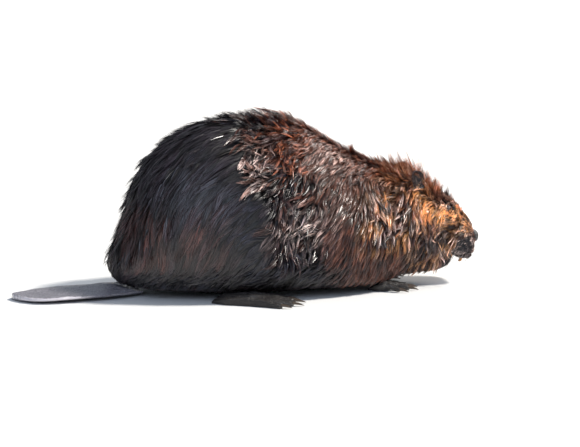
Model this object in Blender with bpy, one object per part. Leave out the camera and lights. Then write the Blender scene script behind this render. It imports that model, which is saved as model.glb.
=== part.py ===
"""North American beaver (Castor canadensis), adult, hunched on all fours with its head held low.

Run it with: blender --background --python part.py
Units are metres and +Z is up. The beaver faces +X, its left side is +Y and the floor is z = 0.
Every solid reaches to the tips of the coat. The body is made whole and parted with thin cuts,
and the feet, ears, eyes, nose, teeth and claws are fitted to it.
"""

import math
from collections import namedtuple

import bmesh
import bpy
import numpy as np
from mathutils import Matrix, Vector

# ---- Driving dimensions -------------------------------------------------------------------------
BODY_LENGTH = 0.614  # rump to nose tip in this stance, in a straight line
BACK_HEIGHT = 0.290  # floor to the top of the arched back
BODY_WIDTH = 0.284  # across the haunches
TAIL_LENGTH = 0.212  # of the bare paddle
TAIL_WIDTH = 0.122
EYE_RADIUS = 0.0062
EAR_HEIGHT = 0.030
HIND_FOOT_LENGTH = 0.150
FORE_FOOT_LENGTH = 0.062  # without its claws
GAP = 0.0003  # clearance left between touching solids

# ---- Mesh fineness ------------------------------------------------------------------------------
AROUND = 24  # points round a body section
SMALL_SPHERE = (10, 6)  # segments and rings of the eyes
CUTTER_SPHERE = (18, 11)
FLAT_WITHIN = math.radians(0.2)  # neighbouring faces this level are made one before they are split

LEFT, RIGHT = 1, -1
SIDES = {"left": LEFT, "right": RIGHT}

# ---- Colours of the coat, skin and horn: base colour, roughness ---------------------------------
FINISHES = {
    "coat_dark": ((0.050, 0.033, 0.028), 0.45),
    "coat_brown": ((0.120, 0.062, 0.038), 0.50),
    "coat_head": ((0.250, 0.125, 0.055), 0.55),
    "skin_dark": ((0.035, 0.030, 0.030), 0.50),
    "tail_scales": ((0.085, 0.080, 0.085), 0.40),
    "eye": ((0.012, 0.008, 0.006), 0.05),
    "claw": ((0.070, 0.055, 0.045), 0.35),
    "incisor": ((0.600, 0.220, 0.040), 0.30),
}

# ---- Body sections ------------------------------------------------------------------------------
# Each section is a plane through a point on the back and one on the belly. Both points are shares
# of BODY_LENGTH (0 at the rump, 1 at the nose) and BACK_HEIGHT, and width is a share of BODY_WIDTH.
# widest is how far up from the belly the section is widest. Squareness 2 is an ellipse.
Section = namedtuple("Section", "back belly width widest top_square low_square")

BODY_SECTIONS = {
    "rump_end": Section((0.002, 0.160), (0.022, 0.068), 0.22, 0.50, 2.0, 2.0),
    "rump_low": Section((0.004, 0.238), (0.062, 0.040), 0.40, 0.48, 2.0, 2.3),
    "rump_middle": Section((0.018, 0.318), (0.112, 0.024), 0.55, 0.44, 2.0, 2.5),
    "rump_high": Section((0.034, 0.405), (0.164, 0.018), 0.66, 0.41, 2.0, 2.7),
    "hip_rear": Section((0.065, 0.625), (0.210, 0.015), 0.77, 0.38, 2.0, 2.9),
    "hip_slope": Section((0.103, 0.762), (0.250, 0.014), 0.85, 0.35, 2.0, 3.0),
    "hip": Section((0.161, 0.876), (0.295, 0.014), 0.91, 0.33, 2.0, 3.1),
    "haunch": Section((0.240, 0.963), (0.340, 0.014), 0.96, 0.32, 2.0, 3.2),
    "loin": Section((0.334, 0.986), (0.388, 0.014), 1.00, 0.31, 2.0, 3.3),
    "back": Section((0.432, 0.999), (0.442, 0.014), 0.99, 0.31, 2.0, 3.3),
    "ribs": Section((0.496, 0.974), (0.508, 0.015), 0.96, 0.31, 2.0, 3.2),
    "withers": Section((0.552, 0.910), (0.568, 0.014), 0.91, 0.31, 2.0, 3.2),
    "shoulder": Section((0.605, 0.838), (0.620, 0.014), 0.845, 0.31, 2.0, 3.2),
    "neck_base": Section((0.658, 0.768), (0.676, 0.016), 0.765, 0.32, 2.0, 3.0),
    "neck": Section((0.712, 0.716), (0.728, 0.028), 0.675, 0.36, 2.0, 2.6),
    "nape": Section((0.765, 0.686), (0.773, 0.044), 0.580, 0.41, 2.0, 2.3),
    "ears": Section((0.812, 0.660), (0.812, 0.056), 0.505, 0.47, 2.1, 2.1),
    "brain_case": Section((0.853, 0.594), (0.842, 0.082), 0.456, 0.49, 2.2, 2.0),
    "cheek": Section((0.891, 0.524), (0.868, 0.112), 0.420, 0.48, 2.2, 2.0),
    "eyes": Section((0.925, 0.464), (0.890, 0.142), 0.366, 0.48, 2.3, 2.0),
    "stop": Section((0.952, 0.400), (0.910, 0.160), 0.308, 0.48, 2.3, 2.1),
    "muzzle": Section((0.971, 0.340), (0.929, 0.152), 0.272, 0.48, 2.3, 2.3),
    "lips": Section((0.984, 0.290), (0.947, 0.136), 0.244, 0.48, 2.3, 2.4),
    "muzzle_front": Section((0.988, 0.254), (0.962, 0.138), 0.186, 0.48, 2.3, 2.4),
}

# Soft swellings and hollows, alike on both sides: place, reach and height, in metres. Places are
# from the rump along +X, out to the side, and up from the floor.
Swelling = namedtuple("Swelling", "place reach height")

SWELLINGS = {
    "haunch": Swelling((0.175, 0.125, 0.100), 0.075, 0.0060),
    "flank_hollow": Swelling((0.285, 0.125, 0.110), 0.038, -0.0065),
    "shoulder_blade": Swelling((0.375, 0.105, 0.130), 0.055, 0.0060),
    "elbow_hollow": Swelling((0.405, 0.110, 0.045), 0.028, -0.0040),
    "cheek_pad": Swelling((0.530, 0.058, 0.085), 0.030, 0.0050),
    "brow": Swelling((0.562, 0.034, 0.138), 0.012, 0.0024),
    "eye_hollow": Swelling((0.566, 0.044, 0.120), 0.010, -0.0024),
    "lip_pad": Swelling((0.594, 0.026, 0.056), 0.014, 0.0030),
}


# ---- Helpers ------------------------------------------------------------------------------------
def clear_scene():
    for leftover in list(bpy.data.objects):
        bpy.data.objects.remove(leftover)


def material(slot):
    """The Principled material of a slot, made the first time it is asked for."""
    found = bpy.data.materials.get(slot)
    if found:
        return found
    colour, roughness = FINISHES[slot]
    made = bpy.data.materials.new(slot)
    made.use_nodes = True
    shader = made.node_tree.nodes["Principled BSDF"]
    shader.inputs["Base Color"].default_value = (*colour, 1.0)
    shader.inputs["Roughness"].default_value = roughness
    shader.inputs["Metallic"].default_value = 0.0
    made.diffuse_color = (*colour, 1.0)
    return made


def add_object(name, mesh, slot=None):
    """A new object in the scene, shaded smooth."""
    made = bpy.data.objects.new(name, mesh)
    bpy.context.scene.collection.objects.link(made)
    if slot:
        mesh.materials.clear()
        mesh.materials.append(material(slot))
    mesh.shade_smooth()
    return made


def mesh_from(name, points, faces):
    """A closed mesh with its faces turned outwards."""
    mesh = bpy.data.meshes.new(name)
    mesh.from_pydata([tuple(point) for point in points], [], faces)
    shape = bmesh.new()
    shape.from_mesh(mesh)
    bmesh.ops.recalc_face_normals(shape, faces=shape.faces)
    if shape.calc_volume(signed=True) < 0:
        bmesh.ops.reverse_faces(shape, faces=shape.faces)
    shape.to_mesh(mesh)
    shape.free()
    return mesh


def loft(name, rings, caps=None):
    """A closed mesh through rings of equally many points, ending in fans.

    caps are the fans' middle points, or None for the middle of the first and last ring.
    """
    count = len(rings[0])
    first, last = caps or (np.mean(rings[0], axis=0), np.mean(rings[-1], axis=0))
    points = [first] + [point for ring in rings for point in ring] + [last]
    faces = []
    for i in range(count):
        after = (i + 1) % count
        faces.append((0, 1 + after, 1 + i))
        for r in range(len(rings) - 1):
            low, high = 1 + r * count, 1 + (r + 1) * count
            faces.append((low + i, low + after, high + after, high + i))
        top = 1 + (len(rings) - 1) * count
        faces.append((len(points) - 1, top + i, top + after))
    return mesh_from(name, points, faces)


def through(knots, per_span):
    """Catmull-Rom curve through rows of numbers, with per_span steps between two rows."""
    knots = np.asarray(knots, float)
    ends = np.vstack([2 * knots[0] - knots[1], knots, 2 * knots[-1] - knots[-2]])
    rows = []
    for i in range(len(knots) - 1):
        before, start, stop, beyond = ends[i : i + 4]
        for step in range(per_span):
            t = step / per_span
            rows.append(
                0.5
                * (
                    2 * start
                    + (stop - before) * t
                    + (2 * before - 5 * start + 4 * stop - beyond) * t**2
                    + (3 * start - before - 3 * stop + beyond) * t**3
                )
            )
    rows.append(knots[-1])
    return np.array(rows)


def power(value, exponent):
    """value raised to exponent, keeping its sign."""
    return np.sign(value) * np.abs(value) ** exponent


def ball(name, centre, radii, turn=None, fineness=CUTTER_SPHERE):
    """An ellipsoid mesh, turned by a matrix about its centre."""
    mesh = bpy.data.meshes.new(name)
    shape = bmesh.new()
    segments, rings = fineness
    bmesh.ops.create_uvsphere(shape, u_segments=segments, v_segments=rings, radius=1.0)
    place = Matrix.Translation(Vector(centre))
    place = place @ (turn or Matrix.Identity(3)).to_4x4() @ Matrix.Diagonal((*radii, 1.0))
    bmesh.ops.transform(shape, matrix=place, verts=shape.verts)
    shape.to_mesh(mesh)
    shape.free()
    return mesh


def combined(first, operation, others, name):
    """The mesh of first after an exact Boolean with each of the other meshes."""
    carrier = bpy.data.objects.new(name, first)
    bpy.context.scene.collection.objects.link(carrier)
    helpers = [carrier]
    for i, other in enumerate(others):
        tool = bpy.data.objects.new(f"{name}_tool_{i}", other)
        tool.hide_render = True
        tool.display_type = "WIRE"
        bpy.context.scene.collection.objects.link(tool)
        helpers.append(tool)
        step = carrier.modifiers.new(f"boolean_{i}", "BOOLEAN")
        step.operation = operation
        step.solver = "EXACT"
        step.object = tool
    bpy.context.view_layer.update()
    evaluated = carrier.evaluated_get(bpy.context.evaluated_depsgraph_get())
    made = bpy.data.meshes.new_from_object(evaluated)
    made.name = name
    for helper in helpers:
        bpy.data.objects.remove(helper)
    return made


def tidied(mesh, within=0.00002):
    """The mesh without the slivers that a Boolean can leave."""
    shape = bmesh.new()
    shape.from_mesh(mesh)
    bmesh.ops.remove_doubles(shape, verts=shape.verts, dist=within)
    bmesh.ops.dissolve_degenerate(shape, edges=shape.edges, dist=within)
    bmesh.ops.dissolve_limit(
        shape, angle_limit=FLAT_WITHIN, verts=shape.verts, edges=shape.edges
    )
    bmesh.ops.triangulate(shape, faces=shape.faces)
    shape.to_mesh(mesh)
    shape.free()
    return mesh


def kept_side(mesh, point, normal, name):
    """A closed copy of the part of the mesh on the side that normal points away from."""
    made = mesh.copy()
    made.name = name
    shape = bmesh.new()
    shape.from_mesh(made)
    everything = shape.verts[:] + shape.edges[:] + shape.faces[:]
    cut = bmesh.ops.bisect_plane(
        shape, geom=everything, plane_co=point, plane_no=normal, clear_outer=True
    )
    rim = [piece for piece in cut["geom_cut"] if isinstance(piece, bmesh.types.BMEdge)]
    bmesh.ops.contextual_create(shape, geom=rim)
    bmesh.ops.triangulate(shape, faces=[face for face in shape.faces if len(face.verts) > 4])
    shape.to_mesh(made)
    shape.free()
    return made


def between(mesh, rear, front, name):
    """The part of the mesh between two cuts, each a point and a normal that points forward."""
    piece = mesh
    if front:
        point, normal = front
        piece = kept_side(piece, point - normal * GAP / 2, normal, name)
    if rear:
        point, normal = rear
        piece = kept_side(piece, point + normal * GAP / 2, -normal, name)
    return piece


def tube(name, knots, sides=8, per_span=2, flat=1.0):
    """A closed round tube along rows of x, y, z and radius. flat squashes it in height."""
    rows = through(knots, per_span)
    path, radii = rows[:, :3], rows[:, 3]
    along = np.gradient(path, axis=0)
    along /= np.linalg.norm(along, axis=1, keepdims=True)
    rings = []
    for centre, radius, ahead in zip(path, radii, along):
        across = np.cross((0.0, 0.0, 1.0), ahead)
        across /= np.linalg.norm(across)
        over = np.cross(ahead, across)
        angles = [2 * math.pi * i / sides for i in range(sides)]
        rings.append(
            [
                centre + radius * (math.cos(a) * across + flat * math.sin(a) * over)
                for a in angles
            ]
        )
    ends = (path[0] - along[0] * radii[0] * 0.5, path[-1] + along[-1] * radii[-1] * 0.6)
    return loft(name, rings, ends)


# ---- Body ---------------------------------------------------------------------------------------
def body_place(along, height):
    """A point of the middle plane, from shares of the body's length and height."""
    return np.array([along * BODY_LENGTH, 0.0, height * BACK_HEIGHT])


def body_rows():
    """Back and belly points, width, widest and squareness of every ring, rump to muzzle."""
    return [
        (*s.back, *s.belly, s.width, s.widest, s.top_square, s.low_square)
        for s in BODY_SECTIONS.values()
    ]


def body_ring(row, grow):
    """The points of one body ring, grown outwards in its own plane."""
    back, belly = body_place(row[0], row[1]), body_place(row[2], row[3])
    up = back - belly
    height = np.linalg.norm(up)
    up /= height
    middle = belly + up * height * row[5]
    over, under = height * (1 - row[5]) + grow, height * row[5] + grow
    half = row[4] * BODY_WIDTH / 2 + grow
    ring = []
    for i in range(AROUND):
        angle = 2 * math.pi * i / AROUND
        side, rise = math.cos(angle), math.sin(angle)
        square = row[6] if rise > 0 else row[7]
        reach = over if rise > 0 else under
        ring.append(
            middle
            + np.array([0.0, half * power(side, 2 / square), 0.0])
            + up * reach * power(rise, 2 / square)
        )
    return ring


def swell(mesh):
    """Moves the mesh's points along their normals by the soft swellings and hollows."""
    for vertex in mesh.vertices:
        shift = 0.0
        for swelling in SWELLINGS.values():
            x, y, z = swelling.place
            place = Vector((x, math.copysign(y, vertex.co.y), z))
            away = (vertex.co - place).length / swelling.reach
            shift += swelling.height * math.exp(-away * away)
        vertex.co = vertex.co + vertex.normal * shift


def body(name, grow=0.0):
    """The whole body and head, without feet, paddle, ears, eyes, nose and jaw."""
    rows = body_rows()
    rings = [body_ring(row, grow) for row in rows]
    rear = np.mean(rings[0], axis=0) + np.array([-0.002 - grow, 0.0, 0.0])
    front = np.mean(rings[-1], axis=0) + np.array([0.004 + grow, 0.0, -0.003])
    mesh = loft(name, rings, (rear, front))
    swell(mesh)
    return mesh


def cut_between(back, belly):
    """A parting plane across the body: a point and its forward normal, from shares."""
    high, low = body_place(*back), body_place(*belly)
    normal = np.cross(high - low, (0.0, 1.0, 0.0))
    normal /= np.linalg.norm(normal)
    if normal[0] < 0:
        normal = -normal
    return Vector(low), Vector(normal)


CUTS = {
    "rump": cut_between((0.235, 0.95), (0.315, 0.02)),
    "trunk": cut_between((0.530, 0.95), (0.540, 0.03)),
    "chest": cut_between((0.672, 0.77), (0.700, 0.04)),
    "neck": cut_between((0.795, 0.68), (0.800, 0.06)),
}


def limb_ball(name, side, centre, radii, lean, grow=0.0):
    """The ellipsoid that parts a limb from the body. lean tips its top forward, in degrees."""
    x, y, z = centre
    turn = Matrix.Rotation(math.radians(lean), 3, "Y")
    grown = [radius + grow for radius in radii]
    return ball(name, (x, side * y, z), grown, turn)


THIGH = {"centre": (0.205, 0.120, 0.080), "radii": (0.105, 0.060, 0.076), "lean": 22.0}
ARM = {"centre": (0.405, 0.098, 0.058), "radii": (0.046, 0.046, 0.070), "lean": 14.0}
TAIL_ROOT = {"centre": (0.018, 0.0, 0.028), "radii": (0.046, 0.050, 0.034), "lean": 0.0}


# ---- Tail ---------------------------------------------------------------------------------------
TAIL_START = 0.056  # from the rump forward, where the paddle begins under the body
TAIL_SWING = -0.016  # how far its tip lies to the right
TAIL_THICK = 0.022
TAIL_EDGE = 0.0055
TAIL_LIFT = 0.0085  # how far the right rim curls up near the root
TAIL_SOLE = 0.62  # share of the half width that lies flat on the floor
# How wide the paddle is along its length, as shares of TAIL_WIDTH.
TAIL_OUTLINE = (0.52, 0.83, 0.94, 0.99, 1.00, 0.99, 0.95, 0.87, 0.74, 0.52, 0.22)
TAIL_ACROSS = 9


def tail_paddle():
    """The bare paddle: thick along its middle, thin at its rim, flat beneath."""
    widths = [share * TAIL_WIDTH / 2 for share in TAIL_OUTLINE]
    count = len(widths)
    shares = np.linspace(-1.0, 1.0, TAIL_ACROSS)
    tops, soles = [], []
    for i, half in enumerate(widths):
        t = math.sin(math.pi / 2 * i / (count - 1))
        x = TAIL_START - TAIL_LENGTH * t
        middle = TAIL_SWING * t * t
        thick = TAIL_EDGE + (TAIL_THICK - TAIL_EDGE) * (1 - 0.62 * t)
        for share in shares:
            lift = TAIL_LIFT * (1 - 0.6 * t) * max(0.0, -share) ** 2
            crown = (thick - TAIL_EDGE) * (1 - share * share)
            under = max(0.0, (abs(share) - TAIL_SOLE) / (1 - TAIL_SOLE)) ** 2
            y = middle + half * share
            soles.append((x, y, lift + 0.0018 * under))
            tops.append((x, y, lift + TAIL_EDGE + crown - 0.0012 * under))
    wide = TAIL_ACROSS
    low = len(tops)
    faces = []
    for i in range(count - 1):
        for j in range(wide - 1):
            a, b = i * wide + j, (i + 1) * wide + j
            faces.append((a, a + 1, b + 1, b))
            faces.append((low + a, low + b, low + b + 1, low + a + 1))
    for i in range(count - 1):
        for j in (0, wide - 1):
            a, b = i * wide + j, (i + 1) * wide + j
            faces.append((a, b, low + b, low + a))
    for i in (0, count - 1):
        for j in range(wide - 1):
            a = i * wide + j
            faces.append((a, a + 1, low + a + 1, low + a))
    return mesh_from("tail_paddle", tops + soles, faces)


# ---- Hind feet ----------------------------------------------------------------------------------
HIND_HEEL = (0.150, 0.106)  # heel: from the rump forward, and out to the side
HIND_TURN = 13.0  # degrees that the foot points outwards
HIND_TOE_ANGLES = (-15.0, -7.5, 0.0, 7.5, 15.0)  # inner toe to outer toe
HIND_TOE_LENGTHS = (0.80, 0.93, 1.00, 0.99, 0.88)  # shares of the foot without its claws
HIND_WEB_REACH = 0.86  # how far the web reaches between two toes
HIND_FLESH = HIND_FOOT_LENGTH - 0.016
HIND_ROWS = 6
HEEL_WIDTH = 0.028
HEEL_NARROWS = 0.45  # share of its width and height left at the very back of the heel
HEEL_HEIGHT = 0.018  # of the bar that runs from the heel to the middle of the foot
TOE_HEIGHT = 0.0105  # of a toe's ridge above the web
WEB_THICK = 0.0035


def hind_foot_columns():
    """Angle, length share and toe share of each column across the webbed foot."""
    columns = []
    for i, (angle, length) in enumerate(zip(HIND_TOE_ANGLES, HIND_TOE_LENGTHS)):
        columns += [(angle - 1.9, length * 0.975, 0.50), (angle, length, 1.0)]
        columns.append((angle + 1.9, length * 0.975, 0.50))
        if i + 1 < len(HIND_TOE_ANGLES):
            beyond = HIND_TOE_LENGTHS[i + 1]
            middle = (angle + HIND_TOE_ANGLES[i + 1]) / 2
            columns.append((middle, min(length, beyond) * HIND_WEB_REACH, 0.0))
    return columns


def hind_foot(side):
    """A flat sole with five toes raised above the web between them."""
    tops, soles = [], []
    columns = hind_foot_columns()
    for angle, length, toe in columns:
        for row in range(HIND_ROWS):
            t = row / (HIND_ROWS - 1)
            # The foot is one bar as far as its middle, and fans out beyond it.
            fan = max(0.0, (t - 0.25) / 0.75)
            spread = math.radians(angle) * (0.45 + 0.55 * fan)
            heel = 1.0 if row else HEEL_NARROWS
            reach = HIND_FLESH * length * t
            ahead = reach * math.cos(spread)
            out = HEEL_WIDTH / 2 * heel * angle / HIND_TOE_ANGLES[-1] + reach * math.sin(spread)
            bar = HEEL_HEIGHT * heel * (1 - t) ** 1.1 * (1 - 0.35 * (angle / HIND_TOE_ANGLES[-1]) ** 2)
            ridge = TOE_HEIGHT * toe * (1 - 0.30 * t) * min(1.0, 3 * fan)
            tip = 1 - 0.45 * max(0.0, (t - 0.85) / 0.15) ** 2
            height = max(0.0030, (WEB_THICK + bar + ridge) * tip)
            tops.append((ahead, side * out, height))
            soles.append((ahead, side * out, 0.0))
    count = len(columns)
    low = len(tops)
    faces = []
    for i in range(count - 1):
        for j in range(HIND_ROWS - 1):
            a, b = i * HIND_ROWS + j, (i + 1) * HIND_ROWS + j
            faces.append((a, a + 1, b + 1, b))
            faces.append((low + a, low + b, low + b + 1, low + a + 1))
    for i in (0, count - 1):
        for j in range(HIND_ROWS - 1):
            a = i * HIND_ROWS + j
            faces.append((a, a + 1, low + a + 1, low + a))
    for j in (0, HIND_ROWS - 1):
        for i in range(count - 1):
            a, b = i * HIND_ROWS + j, (i + 1) * HIND_ROWS + j
            faces.append((a, b, low + b, low + a))
    mesh = mesh_from("hind_foot", tops + soles, faces)
    mesh.transform(hind_foot_place(side))
    return mesh


def hind_foot_place(side):
    """Where the heel stands and how the foot is turned."""
    x, y = HIND_HEEL
    turn = Matrix.Rotation(side * math.radians(HIND_TURN), 4, "Z")
    return Matrix.Translation((x, side * y, 0.0)) @ turn


# ---- Fore feet ----------------------------------------------------------------------------------
FORE_WRIST = (0.422, 0.056)  # from the rump forward, and out to the side
FORE_TURN = -6.0  # degrees; the hands point slightly inwards
FORE_DIGIT_ANGLES = (-40.0, -19.0, 0.0, 18.0, 38.0)
FORE_DIGIT_LENGTHS = (0.66, 0.93, 1.00, 0.96, 0.76)  # shares of FORE_FOOT_LENGTH
FORE_PALM = 0.45  # share of the foot's length that is palm
FORE_DIGIT_RADIUS = 0.0048
# Along a digit: share of its length, height of its middle and share of FORE_DIGIT_RADIUS.
DIGIT_PROFILE = ((0.0, 0.0100, 1.15), (0.45, 0.0095, 1.05), (0.8, 0.0058, 1.0), (1.0, 0.0042, 0.85))


def fore_foot_place(side):
    x, y = FORE_WRIST
    turn = Matrix.Rotation(side * math.radians(FORE_TURN), 4, "Z")
    return Matrix.Translation((x, side * y, 0.0)) @ turn


def digit_rows(side, angle, length):
    """Knuckle to tip of one fore digit: x, y, z and radius in the foot's own frame."""
    a = math.radians(angle)
    ahead, out = math.cos(a), side * math.sin(a)
    start, stop = FORE_FOOT_LENGTH * FORE_PALM * 0.5, FORE_FOOT_LENGTH * length
    rows = []
    for t, height, radius in DIGIT_PROFILE:
        reach = start + (stop - start) * t
        rows.append((reach * ahead, reach * out, height, FORE_DIGIT_RADIUS * radius))
    return rows


def fore_foot(side):
    """Palm, wrist and five digits in one solid, with flat soles."""
    palm = ball(
        "palm",
        (FORE_FOOT_LENGTH * 0.24, 0.0, 0.0095),
        (FORE_FOOT_LENGTH * 0.34, 0.0200, 0.0125),
        fineness=(12, 7),
    )
    wrist = tube(
        "wrist",
        [(-0.014, 0.0, 0.034, 0.0150), (-0.006, 0.0, 0.022, 0.0150), (0.010, 0.0, 0.013, 0.0130)],
        sides=9,
        per_span=1,
    )
    digits = [
        tube(f"digit_{i}", digit_rows(side, angle, length), sides=6, per_span=1)
        for i, (angle, length) in enumerate(zip(FORE_DIGIT_ANGLES, FORE_DIGIT_LENGTHS))
    ]
    mesh = combined(palm, "UNION", [wrist, *digits], "fore_foot")
    mesh.transform(fore_foot_place(side))
    return tidied(kept_side(tidied(mesh), (0.0, 0.0, 0.0), (0.0, 0.0, -1.0), "fore_foot"))


# ---- Claws --------------------------------------------------------------------------------------
# A claw: where it leaves the toe's tip, which way it points, and its kind.
Claw = namedtuple("Claw", "root ahead kind")
ClawKind = namedtuple("ClawKind", "length radius droop flat")
HIND_CLAW = ClawKind(length=0.0155, radius=0.0034, droop=0.0030, flat=0.75)
FORE_CLAW = ClawKind(length=0.0150, radius=0.0024, droop=0.0036, flat=1.20)
CLAW_ROOT = 0.0025  # how deep a claw sits in its toe
CLAW_TAPER = ((0.0, 1.0), (0.5, 0.78), (1.0, 0.16))  # share of its length, share of its radius


def claw_mesh(claw, grow=0.0):
    """A curved horn claw that starts inside the toe."""
    kind = claw.kind
    rows = []
    for t, size in CLAW_TAPER:
        point = claw.root + claw.ahead * ((kind.length + CLAW_ROOT) * t - CLAW_ROOT)
        rows.append((point.x, point.y, point.z - kind.droop * t * t, kind.radius * size + grow))
    return tube("claw", rows, sides=5, per_span=1, flat=kind.flat)


def hind_claws(side):
    """The claws of one hind foot, inner toe first."""
    place = hind_foot_place(side)
    made = []
    for angle, length in zip(HIND_TOE_ANGLES, HIND_TOE_LENGTHS):
        a = math.radians(angle)
        reach = HIND_FLESH * length
        out = HEEL_WIDTH / 2 * angle / HIND_TOE_ANGLES[-1] + reach * math.sin(a)
        root = place @ Vector((reach * math.cos(a), side * out, 0.0052))
        ahead = place.to_3x3() @ Vector((math.cos(a), side * math.sin(a), 0.0))
        made.append(Claw(root, ahead, HIND_CLAW))
    return made


def fore_claws(side):
    """The claws of one fore foot, inner digit first."""
    place = fore_foot_place(side)
    made = []
    for angle, length in zip(FORE_DIGIT_ANGLES, FORE_DIGIT_LENGTHS):
        a = math.radians(angle)
        direction = Vector((math.cos(a), side * math.sin(a), 0.0))
        root = place @ (direction * (FORE_FOOT_LENGTH * length) + Vector((0.0, 0.0, 0.0056)))
        made.append(Claw(root, place.to_3x3() @ direction, FORE_CLAW))
    return made


# ---- Head fittings ------------------------------------------------------------------------------
EYE_CENTRE = (0.5590, 0.0375, 0.1265)  # from the rump forward, out to the side, and up
EAR_BASE = (0.5050, 0.0440, 0.1660)
EAR_TILT = 34.0  # degrees that the ear leans outwards
EAR_BACK = 24.0  # degrees that it leans backwards
EAR_TURN = 28.0  # degrees that its hollow turns outwards
NOSE_CENTRE = (0.6005, 0.0, 0.0735)
NOSE_RADII = (0.0105, 0.0165, 0.0105)
NOSE_PITCH = 38.0
NOSTRIL = {"centre": (0.6075, 0.0105, 0.0720), "radii": (0.0040, 0.0030, 0.0036)}


def head_point(place, side=LEFT):
    x, y, z = place
    return Vector((x, side * y, z))


def eye(name, side, grow=0.0):
    radius = EYE_RADIUS + grow
    return ball(name, head_point(EYE_CENTRE, side), (radius,) * 3, fineness=SMALL_SPHERE)


def ear(side):
    """A round ear: a thick shell, hollow in front and rooted in the head."""
    lean = Matrix.Rotation(side * math.radians(-EAR_TILT), 3, "X")
    back = Matrix.Rotation(math.radians(-EAR_BACK), 3, "Y")
    turn = Matrix.Rotation(side * math.radians(EAR_TURN), 3, "Z") @ back @ lean
    base = head_point(EAR_BASE, side)
    centre = base + turn @ Vector((0.0, 0.0, EAR_HEIGHT * 0.34))
    shell = ball("shell", centre, (0.0068, 0.0140, EAR_HEIGHT * 0.62), turn, (12, 8))
    scoop_at = centre + turn @ Vector((0.0062, 0.0, 0.0020))
    scoop = ball("scoop", scoop_at, (0.0060, 0.0104, EAR_HEIGHT * 0.48), turn, (10, 6))
    return combined(shell, "DIFFERENCE", [scoop], "ear")


def nose(grow=0.0):
    turn = Matrix.Rotation(math.radians(NOSE_PITCH), 3, "Y")
    radii = [radius + grow for radius in NOSE_RADII]
    return ball("nose", head_point(NOSE_CENTRE), radii, turn, (14, 8))


def nose_pad():
    """The bare nose with its two nostrils."""
    holes = []
    for side in SIDES.values():
        turn = Matrix.Rotation(side * math.radians(30.0), 3, "Z")
        centre = head_point(NOSTRIL["centre"], side)
        holes.append(ball("nostril", centre, NOSTRIL["radii"], turn, (8, 5)))
    return combined(nose(), "DIFFERENCE", holes, "nose_pad")


# The lower jaw: x from the rump, height of its middle, half width and half depth, rear to chin.
JAW_ROWS = (
    (0.498, 0.044, 0.046, 0.032),
    (0.520, 0.043, 0.040, 0.028),
    (0.538, 0.041, 0.031, 0.022),
    (0.552, 0.039, 0.022, 0.016),
    (0.562, 0.038, 0.014, 0.011),
)
JAW_AROUND = 16


def jaw(grow=0.0):
    """The lower jaw, a scoop that narrows to the chin."""
    rings = []
    for x, z, half, deep in JAW_ROWS:
        ring = []
        for i in range(JAW_AROUND):
            a = 2 * math.pi * i / JAW_AROUND
            lean = (deep + grow) * math.sin(a) * 0.35
            ring.append(
                (x + lean, (half + grow) * math.cos(a), z + (deep + grow) * math.sin(a))
            )
        rings.append(np.array(ring))
    return loft("jaw", rings)


# The upper incisors, root to edge: x, z and half depth. The lower pair stays behind the lips.
TOOTH_ROWS = ((0.5850, 0.0500, 0.0030), (0.5840, 0.0410, 0.0028), (0.5800, 0.0330, 0.0022))
TOOTH_HALF_WIDTH = 0.0048
# Half of the pair's section as shares of its half width and half depth, with the groove first.
TOOTH_OUTLINE = ((0.0, 0.55), (0.35, 1.0), (0.85, 0.8), (1.0, 0.0), (0.7, -0.9))


def incisors(grow=0.0):
    """The pair of chisel teeth as one solid, with the groove between the two in front."""
    half = list(TOOTH_OUTLINE)
    outline = half + [(-across, deep) for across, deep in reversed(half[1:])]
    width = TOOTH_HALF_WIDTH + grow
    rings = []
    for i, (x, z, depth) in enumerate(TOOTH_ROWS):
        level = z if i else z + 2 * grow
        ring = [(x + (depth + grow) * v, width * u, level + depth * 0.3 * v) for u, v in outline]
        rings.append(np.array(ring))
    return loft("incisors", rings)


# ---- Assembly -----------------------------------------------------------------------------------
def add_body_parts():
    """Parts the whole body into head, neck, chest, trunk, rump, limbs and tail root."""
    whole = body("whole")
    limbs = {}
    for word, side in SIDES.items():
        limbs[f"hindleg_{word}"] = (side, THIGH, "coat_dark")
        limbs[f"foreleg_{word}"] = (side, ARM, "coat_brown")
    limbs["tail_root"] = (LEFT, TAIL_ROOT, "coat_dark")
    for name, (side, limb, slot) in limbs.items():
        piece = combined(whole.copy(), "INTERSECT", [limb_ball("limb", side, **limb)], name)
        add_object(name, tidied(piece), slot)
    growers = [limb_ball("limb", side, **limb, grow=GAP) for side, limb, _ in limbs.values()]
    rest = combined(whole.copy(), "DIFFERENCE", growers, "rest")
    sockets = [eye("socket", side, GAP) for side in SIDES.values()] + [nose(GAP)]
    sockets.append(incisors(GAP))
    rest = tidied(combined(rest, "DIFFERENCE", sockets, "rest"))
    spans = {
        "rump": (None, CUTS["rump"], "coat_dark"),
        "trunk": (CUTS["rump"], CUTS["trunk"], "coat_dark"),
        "chest": (CUTS["trunk"], CUTS["chest"], "coat_brown"),
        "neck": (CUTS["chest"], CUTS["neck"], "coat_brown"),
        "head": (CUTS["neck"], None, "coat_head"),
    }
    for name, (rear, front, slot) in spans.items():
        add_object(name, tidied(between(rest, rear, front, name)), slot)


def add_fitted(name, mesh, slot, hosts):
    """Adds a piece after taking away what its hosts fill."""
    add_object(name, tidied(combined(mesh, "DIFFERENCE", hosts, name)), slot)


def add_feet():
    """The four feet, each with a socket for every claw, and the claws."""
    for word, side in SIDES.items():
        feet = {
            f"hindfoot_{word}": (hind_foot(side), hind_claws(side)),
            f"forefoot_{word}": (fore_foot(side), fore_claws(side)),
        }
        for name, (foot, claws) in feet.items():
            sockets = [claw_mesh(claw, GAP) for claw in claws]
            add_fitted(name, foot, "skin_dark", [body("host", GAP), *sockets])
            for i, claw in enumerate(claws):
                add_object(f"claw_{name}_{i + 1}", claw_mesh(claw), "claw")


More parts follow.
